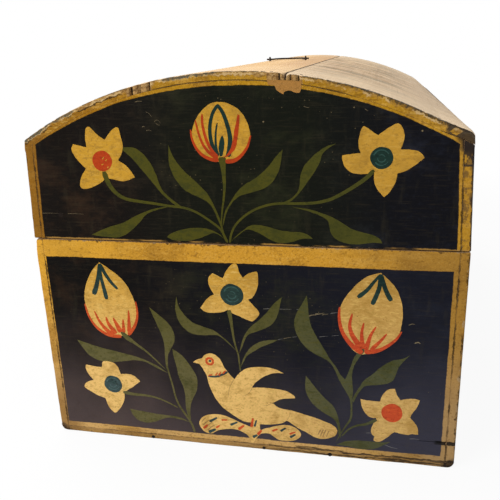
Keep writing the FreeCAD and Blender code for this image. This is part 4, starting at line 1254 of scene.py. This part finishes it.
def paint_dove(art):
    """A dove that stands on a curled branch and looks to the left."""
    art.petals(
        outline(
            [(-29.5, 64.8), (-26.5, 65.7), (-25, 67.8), (-22.5, 69.3), (-19.5, 69.5), (-16.3, 68),
             (-13.8, 65), (-12, 60.5), (-10.3, 58), (-8, 55), (-5.4, 52)],
            [(-3, 55.5), (0, 58.5), (4, 61), (10, 62.2), (17, 62.4), (22.5, 61.3), (27.3, 59)],
            [(22, 58.8), (17.5, 57.3), (12.5, 54.3), (8.5, 50.5), (6.2, 46.8)],
            [(11, 47.3), (18, 47.5), (25, 47), (30, 45.8), (33.8, 43.2), (34.5, 41.5)],
            [(29, 40.8), (24.5, 39.8), (21, 37.5), (18.5, 36.3)],
            [(20.5, 36), (22, 34.5), (25.5, 33), (32, 32.2), (40, 30.2), (48, 28.2), (54, 26), (59, 23.8),
             (61.5, 21), (61.6, 18.8), (60, 16), (56, 13.8), (51, 12.8), (47, 13.8), (42, 16.5), (36, 19.5),
             (30.5, 23.5), (28.6, 24.2)],
            [(25, 21.8), (18, 20.2), (12, 19.8), (6, 20.3), (0, 20.8), (-4, 22.8), (-10, 26.8), (-15, 31),
             (-18.5, 36), (-21, 41.5), (-23, 47.5), (-23.8, 52), (-25, 55.5), (-27.8, 60.5), (-29.5, 61.6),
             (-32.8, 62.3)],
        ),
        outline(
            [(-2, 19.3), (-8, 22), (-14, 24), (-20, 24.3), (-26, 22.8), (-30, 19.8), (-31.3, 15.5),
             (-29.5, 11.5), (-26, 9), (-22.5, 9.2), (-19, 11.5), (-14, 13.3), (-8, 14), (-3, 13.2), (1, 11.2),
             (3.4, 8.4), (4.4, 5)],
            [(6, 5), (8.6, 9.6), (12, 12.7), (17, 13), (20, 11), (23.5, 9), (28, 8.7), (33, 9.5), (37, 12),
             (38, 15), (36, 18.3), (32, 20.4), (27, 20.8), (21, 19.2), (15, 17), (11, 15.2)],
            [(10.6, 18), (11, 22), (8, 26), (5, 24), (4.4, 17)],
        ),
    )
    art.paint(
        line_paint, line_lift,
        stroke([(-5.6, 52), (-8.6, 46), (-9.8, 41), (-9.4, 37.5)], 0.35, 0.15),
        stroke([(6.2, 46.4), (4.6, 43.4), (2.2, 41), (-0.6, 39.6)], 0.35, 0.15),
        stroke([(18.6, 36), (16, 34.6), (13.4, 34)], 0.35, 0.15),
        stroke([(28.8, 24.6), (30.4, 27.4), (31, 30.4)], 0.35, 0.15),
        stroke([(51, 19.6), (50, 17.6), (49.1, 15.5)], 1.1, 0.4),
        stroke([(52.7, 20.1), (51.6, 17.4), (50.7, 14.6)], 1.1, 0.4),
        stroke([(54.4, 20), (53.2, 17), (52.3, 14.2)], 1.0, 0.4),
        stroke([(56.4, 19.5), (55.4, 17), (54.6, 14.5)], 0.9, 0.4),
        stroke([(-28.8, 15), (-25.8, 17.9), (-24, 19.8)], 0.8, 0.4),
        stroke([(-27.2, 12.5), (-24.2, 16.1), (-21.9, 18.1)], 0.8, 0.4),
        stroke([(-25.7, 11.4), (-22.6, 14.3), (-20.3, 15.9)], 0.8, 0.4),
        stroke([(-29.6, 17.2), (-28, 19.4), (-26.4, 21)], 0.6, 0.4),
    )
    eye = (-21.4, 63.9)
    art.reds(
        stroke(arc(eye, 2.3, 0, 180), 1.5, 1.5),
        stroke(arc(eye, 2.3, 180, 360), 1.5, 1.5),
        stroke([(-22.8, 53.2), (-21.4, 53.8), (-20, 54.2)], 1.0, 0.8),
        stroke([(-18, 53.8), (-17.2, 54.9), (-16.4, 56)], 1.0, 0.7),
        stroke([(-15.8, 54), (-15, 55.3), (-14.2, 56.6)], 1.2, 0.8),
        stroke([(-13, 55.5), (-12, 56.7), (-11, 58)], 1.2, 0.8),
        stroke([(-28.5, 12.4), (-27, 14), (-25.4, 15.6)], 1.8, 1.2),
        stroke([(-19.6, 13.7), (-18.3, 14.8), (-17, 15.9)], 1.4, 0.9),
        stroke([(-15.5, 20.2), (-13.5, 20.5), (-11.5, 20.6)], 1.3, 0.9),
        stroke([(-4, 14.2), (-2, 16), (0, 17.8)], 2.0, 1.3),
        stroke([(4.9, 17), (5.5, 20.5), (6.2, 24)], 2.0, 1.2),
        stroke([(9, 11.5), (10.4, 13.4), (11.8, 15.3)], 2.0, 1.2),
        stroke([(19, 15.3), (20.8, 16.3), (22.6, 17.2)], 1.6, 1.0),
        stroke([(30.5, 14.2), (32.5, 15.3), (34.5, 16.3)], 1.4, 0.9),
    )
    art.teals(
        disc((-21.2, 64.2), 0.9),
        stroke([(-23, 52.7), (-17.5, 53), (-13, 55), (-9.8, 57.2)], 1.2, 1.7),
        stroke([(-24, 18.2), (-21.2, 20), (-18.5, 21.8)], 1.9, 1.3),
        stroke([(-25, 9.9), (-22.5, 11.2), (-20, 12.6)], 2.4, 1.6),
        stroke([(-9.5, 17), (-7, 18.4), (-4.5, 19.8)], 1.8, 1.2),
        stroke([(7, 17.4), (7.7, 20), (8.4, 22.6)], 1.5, 1.0),
        stroke([(5.6, 9.2), (7.2, 10.2), (8.8, 11.2)], 2.2, 1.4),
        stroke([(24.5, 15.8), (26.2, 17.2), (28, 18.6)], 1.7, 1.2),
        stroke([(30.8, 11.8), (32.6, 13), (34.5, 14.4)], 1.8, 1.2),
    )


def paint_right_plant(art):
    """A wide tulip bud over a star flower, with broad leaves."""
    art.petals(
        outline(
            [(89, 127.2), (93.5, 122.5), (96.7, 117), (98.8, 110), (99.4, 103.5), (98.8, 96), (97.5, 91),
             (93, 85), (88, 80.5), (83, 77.5), (78, 76.6), (75, 76), (71.6, 78), (68, 82), (64.5, 88),
             (62.5, 94), (61.8, 100.5), (62.8, 107), (65, 112.5), (69.5, 119), (74, 124), (79.5, 128),
             (85.8, 130)],
        ),
        outline(
            [(89.5, 49), (92, 52.5), (95, 53.8), (96.8, 54)],
            [(98, 50), (100.3, 46.3)],
            [(104, 47.5), (109, 48), (112, 47.3)],
            [(110.5, 42), (107.5, 37), (106.8, 34.3)],
            [(110, 30.5), (111.8, 27), (112.2, 22.5)],
            [(108.5, 22.7), (105.5, 21.8), (101, 22.3), (97.5, 23)],
            [(95, 20.4), (92, 17.3), (88.5, 14.8), (85, 15.2), (85.3, 18.3)],
            [(83.3, 20.5), (83.4, 25), (86.2, 32)],
            [(82, 32.5), (78.5, 36), (76.8, 40), (76, 45)],
            [(80, 44.3), (88, 44.2)],
        ),
    )
    art.leaves(
        outline(
            [(43, 107), (43.7, 99), (45.5, 92), (49, 85), (53, 78), (57, 71), (60.5, 66), (63, 60.5),
             (66.5, 52)],
            [(62.6, 57), (60, 63.5), (57, 68.6), (53, 71.5), (47, 74.5), (42, 78), (38, 83), (35.3, 89),
             (34.4, 95.5), (36, 101.5), (39, 107), (42.3, 113.5)],
        ),
        outline(
            [(45, 54), (49, 48.5), (54, 43), (59, 38), (61.7, 32), (63, 26), (63.8, 20), (64, 15)],
            [(62.6, 17), (62, 23), (60.5, 27), (57.5, 30), (51.5, 33.5), (46, 38.5), (42.3, 44.5), (41, 51),
             (41.5, 58.5)],
        ),
        outline(
            [(100.5, 75), (95, 73.5), (91, 71), (86.5, 67), (82, 62), (78, 58.5), (75.5, 54), (73, 49.5),
             (70.8, 44)],
            [(71.5, 42), (73.5, 46.6), (76, 51.2), (79, 54.4), (85, 55.5), (91.5, 57), (95.5, 60), (97, 64),
             (98.5, 69), (101, 73), (105, 77.8)],
        ),
        outline(
            [(66, 12.3), (73, 14), (82, 14.4), (90, 14.5), (95.5, 15.3)],
            [(91, 12.5), (87, 9.8), (82, 8.3), (75, 8), (68, 9.2), (61.3, 9.4)],
        ),
    )
    art.stems(
        outline(
            [(77.8, 79), (75, 74.5), (72.2, 69.5), (70.6, 64), (70.6, 57), (71.2, 50), (70.9, 44), (71.1, 36),
             (70.7, 29.4), (67.2, 23.4), (61, 11.4)],
            [(63, 17.2), (66.6, 24.4), (69.4, 30), (69.9, 37), (69.3, 44), (66.5, 50), (63.5, 55.5), (62, 61),
             (60, 66)],
            [(63, 61.5), (66, 58)],
            [(67.5, 61.5), (69.5, 67), (71, 72.5), (73.6, 77.5), (76.6, 81.6)],
        ),
        stroke([(86.4, 30.8), (80, 27), (74, 25.2), (69, 22), (64.6, 16.4)], 2.4, 1.0, 2),
    )
    art.teals(
        stroke([(85.7, 129), (82, 124), (78, 118.5), (72.8, 113.8)], 1.4, 2.8),
        stroke([(85.8, 129), (85.3, 121), (83.5, 115), (81.4, 109.6)], 2.4, 2.8),
        stroke([(86, 129), (87.8, 122.5), (90, 117), (92.4, 112.6)], 2.4, 2.9),
    )
    art.reds(
        disc((95.6, 36.7), 6.5),
        stroke([(62.2, 107), (62, 100), (63.5, 92), (67, 85.5), (71.5, 80.5), (76.4, 77.2)], 1.2, 3.6),
        stroke([(69.8, 103), (68.4, 96), (69.5, 90), (73, 84), (76, 80)], 1.1, 4.2),
        stroke([(76.8, 97.4), (75.7, 91), (76, 85), (76.8, 80)], 1.0, 3.4),
        stroke([(84.2, 95.4), (81.3, 90), (79.5, 84), (78.2, 79.4)], 0.9, 3.4),
        stroke([(90.6, 91), (87, 86), (81.5, 79.6)], 0.9, 2.8),
        stroke([(99.2, 93), (96, 87.5), (90, 82), (84, 78.9), (77.6, 78)], 1.0, 3.2),
    )


def paint_base_end(art):
    """All that stands on the base of an end."""
    paint_left_plant(art)
    paint_middle_flower(art)
    paint_dove(art)
    paint_right_plant(art)


def on_right_end(across, height, lift):
    return end_face + lift, across, height


# The photographed end also has its rubbed spots, its scratches, the joint that is painted over, and stains.
base_right_art = Ornament("base_right_end", "base", on_right_end)
paint_base_end(base_right_art)
base_right_art.paint(
    worn_paint, wear_lift,
    stroke([(43.4, 99.8), (45.6, 100.7), (48.2, 100.9)], 0.9, 0.3),
    stroke([(47.4, 101.5), (50, 101.7), (52.8, 102.4)], 0.7, 0.25),
    stroke([(51.6, 101), (53.2, 101.6), (55.4, 101.9)], 0.4, 0.2),
    stroke([(27.6, 83.4), (30, 84.2), (32.6, 84.8)], 0.45, 0.2),
    stroke([(103, 97.5), (105, 98.4), (106.5, 98.2)], 0.5, 0.3),
    stroke([(107, 85.8), (109, 86.6), (110.4, 85.8)], 0.9, 0.4),
)
base_right_art.paint(
    scuff_paint, wear_lift,
    stroke([(15, 103), (19, 103.4), (22.4, 103.3)], 0.28, 0.15),
    stroke([(24.6, 103.5), (29, 103.6), (33, 103.8)], 0.22, 0.1),
    stroke([(36, 103.9), (39, 103.8), (41.4, 104)], 0.2, 0.1),
    stroke([(56.6, 102.3), (59.2, 102.9), (62, 103.2)], 0.3, 0.15),
    stroke([(24, 82.5), (25.6, 83), (27, 83.2)], 0.25, 0.12),
    stroke([(33.2, 84.9), (34.8, 85.2), (36, 85.4)], 0.25, 0.12),
    stroke([(50, 86.2), (53, 86.8), (55.4, 87)], 0.22, 0.1),
    stroke([(57.6, 87.4), (60, 87.8), (62, 88)], 0.2, 0.1),
    stroke([(80, 20.4), (82.5, 20.6), (85.5, 20.2)], 0.3, 0.15),
    stroke([(89, 19.6), (91, 19.9), (93, 19.7)], 0.25, 0.15),
    stroke([(98, 23.4), (102, 24), (106, 23.6)], 0.3, 0.15),
    stroke([(107, 18.9), (110, 19.3), (113, 19)], 0.4, 0.2),
    stroke([(77, 13.6), (81, 12.6), (85, 12.4)], 0.3, 0.15),
    stroke([(92, 12.8), (96, 11.4), (100, 10.8)], 0.35, 0.15),
)
over_joint = [Vector(spot) for spot in ((-129, 17.5), (115, 17.5), (110, 18.9), (-129, 18.9))]
base_right_art.paint(base_paint, joint_lift, over_joint)
stains = (disc((-65.5, 1.6), 1.2), disc((13, 1.5), 1.1), disc((57, 1.4), 1.3))
base_right_art.paint(dark_mark, stain_lift, *stains)
base_right_art.dry()
lid_right_art = Ornament("lid_right_end", "lid", on_right_end)
paint_lid_spray(lid_right_art)
lid_right_art.paint(
    worn_paint, wear_lift,
    stroke([(-127, 161.3), (-120, 161.5), (-112, 161.4)], 0.22, 0.12),
    stroke([(-109, 161.5), (-103, 161.5), (-98, 161.2)], 0.2, 0.1),
    stroke([(-51.1, 224), (-49, 222.6), (-47.8, 220.9)], 0.2, 0.1),
    stroke([(-46.6, 218.2), (-45.2, 219.1), (-43.6, 218.6), (-42.6, 217.2)], 0.22, 0.15),
    stroke([(-45.6, 217.4), (-44.4, 216.4), (-43, 216.2)], 0.2, 0.12),
    stroke([(-54.2, 215.2), (-53.4, 215.5), (-52.6, 215.3)], 0.4, 0.2),
    stroke([(-52, 213), (-50.4, 213.4), (-48.6, 212.8)], 0.28, 0.15),
    stroke([(-57.4, 229.6), (-55.2, 230), (-53, 229.9)], 0.28, 0.15),
    stroke([(41.2, 225.9), (42.6, 225.3), (44.2, 225.1)], 0.3, 0.2),
    stroke([(74.4, 223.9), (75.4, 223.3), (76.2, 222.8)], 0.3, 0.15),
)
rubbed_spots = (disc((68.6, 224.8), 0.35), disc((18.3, 217.6), 0.45), disc((105.1, 212), 0.5))
lid_right_art.paint(worn_paint, wear_lift, *rubbed_spots)
lid_right_art.paint(dark_mark, spot_lift, disc((-114, 160.6), 1.6))
lid_right_art.paint(
    bare_patch, patch_lift,
    outline(
        [(25, 237), (26, 235), (28, 233.5), (30, 232.5)],
        [(31, 234), (34, 234.3), (36, 233.2)],
        [(38, 233), (39.2, 233.4)],
        [(40, 236)],
        [(40.2, 239.2)],
        [(31, 239.9)],
        [(21, 240.4)],
        [(21.5, 237.8)],
    ),
)
lid_right_art.dry()

# Ornament of the other panels: the far end shows the same figures the other way round, so that both doves
# look to the front. The front has plants on both sides of its keyhole, and two sprays on the lid.
def on_left_end(across, height, lift):
    return -end_face - lift, across, height


def on_base_front(across, height, lift):
    return across, -half_width - lift, height


def on_lid_front(across, height, lift):
    return across, lean(height) - half_width - lift, height


def moved(along, mirrored, scale=1, foot=0):
    """Carries figures drawn for the right end along a panel. Scaling leaves what stands at the foot there."""
    way = -1 if mirrored else 1
    return lambda point: Vector(((point.x * scale + along) * way, foot + (point.y - foot) * scale))


base_left_art = Ornament("base_left_end", "base", on_left_end)
paint_base_end(base_left_art)
base_left_art.dry()
lid_left_art = Ornament("lid_left_end", "lid", on_left_end)
paint_lid_spray(lid_left_art)
lid_left_art.dry()

base_front_art = Ornament("base_front", "base", on_base_front)
for mirrored in (False, True):
    base_front_art.move = moved(-88, mirrored)
    paint_left_plant(base_front_art)
    base_front_art.move = moved(-143, mirrored)
    paint_right_plant(base_front_art)
flower_scale = 0.66
flower_shift = Vector((3, -25))
base_front_art.move = lambda point: point * flower_scale + flower_shift
paint_middle_flower(base_front_art)
base_front_art.dry()
lid_front_art = Ornament("lid_front", "lid", on_lid_front)
for mirrored in (False, True):
    lid_front_art.move = moved(-105, mirrored, scale=0.6, foot=seam)
    paint_lid_spray(lid_front_art)
lid_front_art.dry()

# Nails: hand-made iron nails through the sides, the bottom and the top, and short ones in the lock's plates.
# Each is a flat forged head on a pointed shank, hammered almost flush and turned at random.
def nail_tree():
    """Geometry nodes that put one nail at each point, along the way out that the point carries."""
    tree = bpy.data.node_groups.new("driven_nails", "GeometryNodeTree")
    tree.interface.new_socket("Geometry", in_out="INPUT", socket_type="NodeSocketGeometry")
    for size_name in ("Head radius", "Head height", "Shank radius", "Length"):
        tree.interface.new_socket(size_name, in_out="INPUT", socket_type="NodeSocketFloat")
    tree.interface.new_socket("Iron", in_out="INPUT", socket_type="NodeSocketMaterial")
    tree.interface.new_socket("Geometry", in_out="OUTPUT", socket_type="NodeSocketGeometry")

    def add(kind, settings, inputs):
        return new_node(tree, kind, settings, inputs).outputs

    given = add("NodeGroupInput", {}, {})
    rim, height = given["Head radius"], given["Head height"]
    flat = add("ShaderNodeMath", {"operation": "MULTIPLY"}, {0: rim, 1: 0.62})[0]
    head_sizes = {"Vertices": 9, "Radius Top": flat, "Radius Bottom": rim, "Depth": height}
    head = add("GeometryNodeMeshCone", {}, head_sizes)["Mesh"]
    neck, length = given["Shank radius"], given["Length"]
    down = add("ShaderNodeMath", {"operation": "MULTIPLY"}, {0: length, 1: -1.0})[0]
    shank_sizes = {"Vertices": 6, "Radius Top": neck, "Radius Bottom": 0.0, "Depth": length}
    shank = add("GeometryNodeMeshCone", {}, shank_sizes)["Mesh"]
    below = add("ShaderNodeCombineXYZ", {}, {"Z": down})[0]
    shank = add("GeometryNodeTransform", {}, {"Geometry": shank, "Translation": below})[0]
    nail = tree.nodes.new("GeometryNodeJoinGeometry")
    tree.links.new(shank, nail.inputs[0])
    tree.links.new(head, nail.inputs[0])
    vector = {"data_type": "FLOAT_VECTOR"}
    outward = add("GeometryNodeInputNamedAttribute", vector, {"Name": "outward"})["Attribute"]
    upright = add("FunctionNodeAlignRotationToVector", {"axis": "Z"}, {"Vector": outward})[0]
    chance = {"Min": (-0.06, -0.06, 0.0), "Max": (0.06, 0.06, math.tau), "Seed": 7}
    turn = add("FunctionNodeRandomValue", vector, chance)[0]
    turn = add("FunctionNodeEulerToRotation", {}, {0: turn})[0]
    turned = add("FunctionNodeRotateRotation", {"rotation_space": "LOCAL"}, {0: upright, 1: turn})[0]
    uneven = {"Min": (0.85, 0.85, 0.8), "Max": (1.15, 1.15, 1.0), "Seed": 11}
    forged = add("FunctionNodeRandomValue", vector, uneven)[0]
    placed = {"Points": given["Geometry"], "Instance": nail.outputs[0], "Rotation": turned, "Scale": forged}
    driven = add("GeometryNodeInstanceOnPoints", {}, placed)[0]
    driven = add("GeometryNodeRealizeInstances", {}, {0: driven})[0]
    driven = add("GeometryNodeSetMaterial", {}, {"Geometry": driven, "Material": given["Iron"]})[0]
    add("NodeGroupOutput", {}, {0: driven})
    return tree


def iron(name, clean, rust, rusted):
    """Old iron: dull grey-brown with rust, more or less of it."""
    f = Finish(name)
    patches = f.cloud(0.22, 5, 0.7)
    pits = f.cloud(1.3, 4, 0.7)
    rusty = f.fade(patches, 0.66 - rusted * 0.3, 0.76 - rusted * 0.3)
    f.colour = f.mix(rusty * 0.85, clean, rust)
    f.coat(f.fade(pits, 0.5, 0.68) * 0.5, "#1d1612")
    roughness = 0.42 + rusty * 0.3 + pits * 0.15
    return f.surface(roughness, pits - rusty * 0.4, depth=0.12, specular=0.3, metallic=0.8 - rusty * 0.6)


nail_iron = iron("nail_iron", "#3b332c", "#4a2f1d", 0.7)
driven_nails = nail_tree()
nail_x = half_length - end_thickness / 2
head_height = 0.5
shank_radius = 0.7
wall_nail = {"head_radius": 1.7, "length": 14}
top_nail = {"head_radius": 1.5, "length": 14}
lock_nail = {"head_radius": 1.7, "length": 4.2, "proud": 0.4}


def drive(name, node, body, spots, head_radius, length, proud):
    """Nails in the place of one CAD group. Each spot is a place on the surface and the way out of it."""
    points = bpy.data.meshes.new(f"{name}_points")
    sunk = head_height - proud
    points.from_pydata([(Vector(place) - Vector(outward) * sunk) * MM for place, outward in spots], [], [])
    ways = points.attributes.new("outward", "FLOAT_VECTOR", "POINT")
    ways.data.foreach_set("vector", [number for _, outward in spots for number in outward])
    field = linked(f"{name}_points", points)
    modifier = field.modifiers.new("nails", "NODES")
    modifier.node_group = driven_nails
    given = {
        "Head radius": head_radius * MM,
        "Head height": head_height * MM,
        "Shank radius": shank_radius * MM,
        "Length": length * MM,
        "Iron": nail_iron,
    }
    for socket in driven_nails.interface.items_tree:
        if socket.name in given:
            modifier[socket.identifier] = given[socket.name]
    finished = field.evaluated_get(bpy.context.evaluated_depsgraph_get())
    mesh = bpy.data.meshes.new_from_object(finished)
    mesh.name = name
    bpy.data.objects.remove(field)
    piece = linked(name, mesh)
    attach(piece, body)
    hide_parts(node)


def spread(low, high, number):
    """Evenly spaced places from low to high."""
    return [low + (high - low) * step / (number - 1) for step in range(number)]


corner_spots = [
    ((end * nail_x, facing * half_width, height), (0, facing, 0))
    for end in (-1, 1) for facing in (-1, 1) for height in spread(20, 128, 4)
]
drive("base_corner_nails_forged", "base_corner_nails", "base", corner_spots, **wall_nail, proud=0.25)

nail_y = half_width - side_thickness / 2
bottom_places = [(end * nail_x, across) for end in (-1, 1) for across in spread(-119, 119, 5)]
bottom_places += [(along, facing * nail_y) for facing in (-1, 1) for along in spread(-169.5, 169.5, 5)]
bottom_spots = [((along, across, nail_proud), (0, 0, -1)) for along, across in bottom_places]
drive("bottom_nails_forged", "bottom_nails", "base", bottom_spots, **wall_nail, proud=0)

lean_angle = math.atan2(lid_lean, lid_wall)
lid_corner_spots = [
    (
        (end * nail_x, facing * (half_width - lean(height)), height),
        (0, facing * math.cos(lean_angle), math.sin(lean_angle)),
    )
    for end in (-1, 1) for facing in (-1, 1) for height in spread(seam + 16, seam + 47.5, 3)
]
drive("lid_corner_nails_forged", "lid_corner_nails", "lid", lid_corner_spots, **wall_nail, proud=0.25)

arch_across = spread(-113.65, 23, 5) + spread(39, 113.65, 3)
eave_across = eave_outside - side_thickness / 2
top_places = [(end * nail_x, across) for end in (-1, 1) for across in arch_across]
top_places += [(along, facing * eave_across) for facing in (-1, 1) for along in spread(-185.5, 185.5, 5)]
top_spots = []
for along, across in top_places:
    angle = math.asin(across / dome_radius)
    outward = (0, math.sin(angle), math.cos(angle))
    height = dome_centre + dome_radius * math.cos(angle) + warp(along, across)
    top_spots.append(((along, across, height), outward))
drive("lid_top_nails_forged", "lid_top_nails", "lid", top_spots, **top_nail, proud=0.1)

# Wire fittings: two hinges of looped wire at the back, and a thin wire bail in two staples on the top,
# all of drawn iron wire that has gone dark with rust.
def refinish(finish, *node_names):
    """Gives CAD pieces that keep their shape a better finish."""
    for node in node_names:
        nodes[node].data.materials.clear()
        nodes[node].data.materials.append(finish)


wire_iron = iron("wire_iron", "#3a322b", "#3f2a1c", 0.5)
refinish(wire_iron, "hinge_staple_left", "hinge_staple_right", "hinge_eye_left", "hinge_eye_right")
refinish(wire_iron, "handle_staple_front", "handle_staple_back", "handle_bail")

# Lock: a box lock of sheet iron inside the front, its bolt in two guides, a hasp in the lid, and a keyhole
# plate outside. The iron is cleaner than the wire, and the bolt is polished by use.
lock_iron = iron("lock_iron", "#4d4640", "#50331f", 0.45)
bolt_iron = iron("bolt_iron", "#6d665e", "#4a3524", 0.2)
refinish(lock_iron, "lock_case", "lock_bolt_guide_left", "lock_bolt_guide_right")
refinish(lock_iron, "lock_hasp", "keyhole_plate")
refinish(bolt_iron, "lock_bolt")

flange_thickness = 1.2
hasp_thickness = 1.5
plate_thickness = 0.8
flange_face = -inner_width + flange_thickness
case_spots = [((x, flange_face, z), (0, 1, 0)) for x in (-36.5, 36.5) for z in (107.5, 138.5)]
drive("lock_case_nails_forged", "lock_case_nails", "base", case_spots, **lock_nail)
hasp_height = seam + 12
hasp_face = hasp_thickness - inner_width + lean(hasp_height)
hasp_out = (0, math.cos(lean_angle), -math.sin(lean_angle))
hasp_spots = [((x, hasp_face, hasp_height), hasp_out) for x in (8, 24)]
drive("lock_hasp_nails_forged", "lock_hasp_nails", "lid", hasp_spots, **lock_nail)
plate_face = -half_width - plate_thickness
plate_spots = [((x, plate_face, z), (0, -1, 0)) for x in (-9, 9) for z in (109.5, 125.5)]
drive("keyhole_plate_pins_forged", "keyhole_plate_pins", "base", plate_spots, **lock_nail)

# Studio: a pale floor and a white surround, soft light from the upper left, and the camera where
# the photograph was taken.
floor_mesh = bpy.data.meshes.new("floor")
floor_reach = 4.0
shaded_reach, white_reach = 350, 900  # millimetres from the trunk, between which its shadow fades out
floor_corners = [(x * floor_reach, y * floor_reach, 0) for x, y in ((-1, -1), (1, -1), (1, 1), (-1, 1))]
floor_mesh.from_pydata(floor_corners, [], [(0, 1, 2, 3)])
floor = linked("floor", floor_mesh)
pale = Finish("pale_floor")
rays = pale.node("ShaderNodeLightPath", {}, {}).socket.node.outputs
seen = Value(pale, rays["Is Camera Ray"])
for ray in ("Is Glossy Ray", "Is Transmission Ray"):
    seen = seen.most(Value(pale, rays[ray]))
far = pale.fade(pale.x * pale.x + pale.y * pale.y, shaded_reach ** 2, white_reach ** 2)
matte = pale.node("ShaderNodeBsdfDiffuse", {}, {"Color": (0.88, 0.88, 0.88, 1)})
white = pale.node("ShaderNodeEmission", {}, {"Strength": 1.0})
share = seen * (0.93 + far * 0.07)
whitened = pale.node("ShaderNodeMixShader", {}, {0: share, 1: matte, 2: white})
pale.node("ShaderNodeOutputMaterial", {}, {"Surface": whitened})
floor_mesh.materials.append(pale.material)

world = bpy.data.worlds.new("studio")
world.use_nodes = True
bpy.context.scene.world = world
sky = world.node_tree
sky.nodes.clear()
sky_light, sky_seen = 0.4, 1.0  # how strong the surround is as a light, and as it is seen
rays = new_node(sky, "ShaderNodeLightPath", {}, {}).outputs
seen = rays["Is Camera Ray"]
for ray in ("Is Glossy Ray", "Is Transmission Ray"):
    seen = new_node(sky, "ShaderNodeMath", {"operation": "MAXIMUM"}, {0: seen, 1: rays[ray]}).outputs[0]
strengths = {"Value": seen, "To Min": sky_light, "To Max": sky_seen}
level = new_node(sky, "ShaderNodeMapRange", {}, strengths).outputs[0]
surround = new_node(sky, "ShaderNodeBackground", {}, {"Color": (1, 1, 1, 1), "Strength": level}).outputs[0]
new_node(sky, "ShaderNodeOutputWorld", {}, {"Surface": surround})


def lamp(name, place, target, size, power):
    """A round soft light of that width in metres and that power in watts."""
    light = bpy.data.lights.new(name, "AREA")
    light.shape = "DISK"
    light.size = size
    light.energy = power
    carrier = linked(name, light)
    carrier.location = place
    carrier.rotation_euler = (Vector(target) - Vector(place)).to_track_quat("-Z", "Y").to_euler()


lamp("key_light", place=(1.1, -0.9, 0.9), target=(0.1, 0, 0.12), size=0.9, power=16)
lamp("top_light", place=(-0.2, -0.6, 1.5), target=(0, 0, 0.2), size=1.0, power=11)

camera_data = bpy.data.cameras.new("photograph")
camera_data.sensor_width = 36
camera_data.lens = 44.87
camera = linked("photograph", camera_data)
camera_place = Vector((0.5666, 0.0852, 0.2583))
camera_right = Vector((-0.2049, 0.9782, -0.0331))
camera_up = Vector((-0.3109, -0.0330, 0.9499))
camera_back = Vector((0.9281, 0.2049, 0.3109))
facing_matrix = Matrix((camera_right, camera_up, camera_back)).transposed().to_4x4()
camera.matrix_world = Matrix.Translation(camera_place) @ facing_matrix
bpy.context.scene.camera = camera
bpy.context.scene.view_settings.view_transform = "Standard"
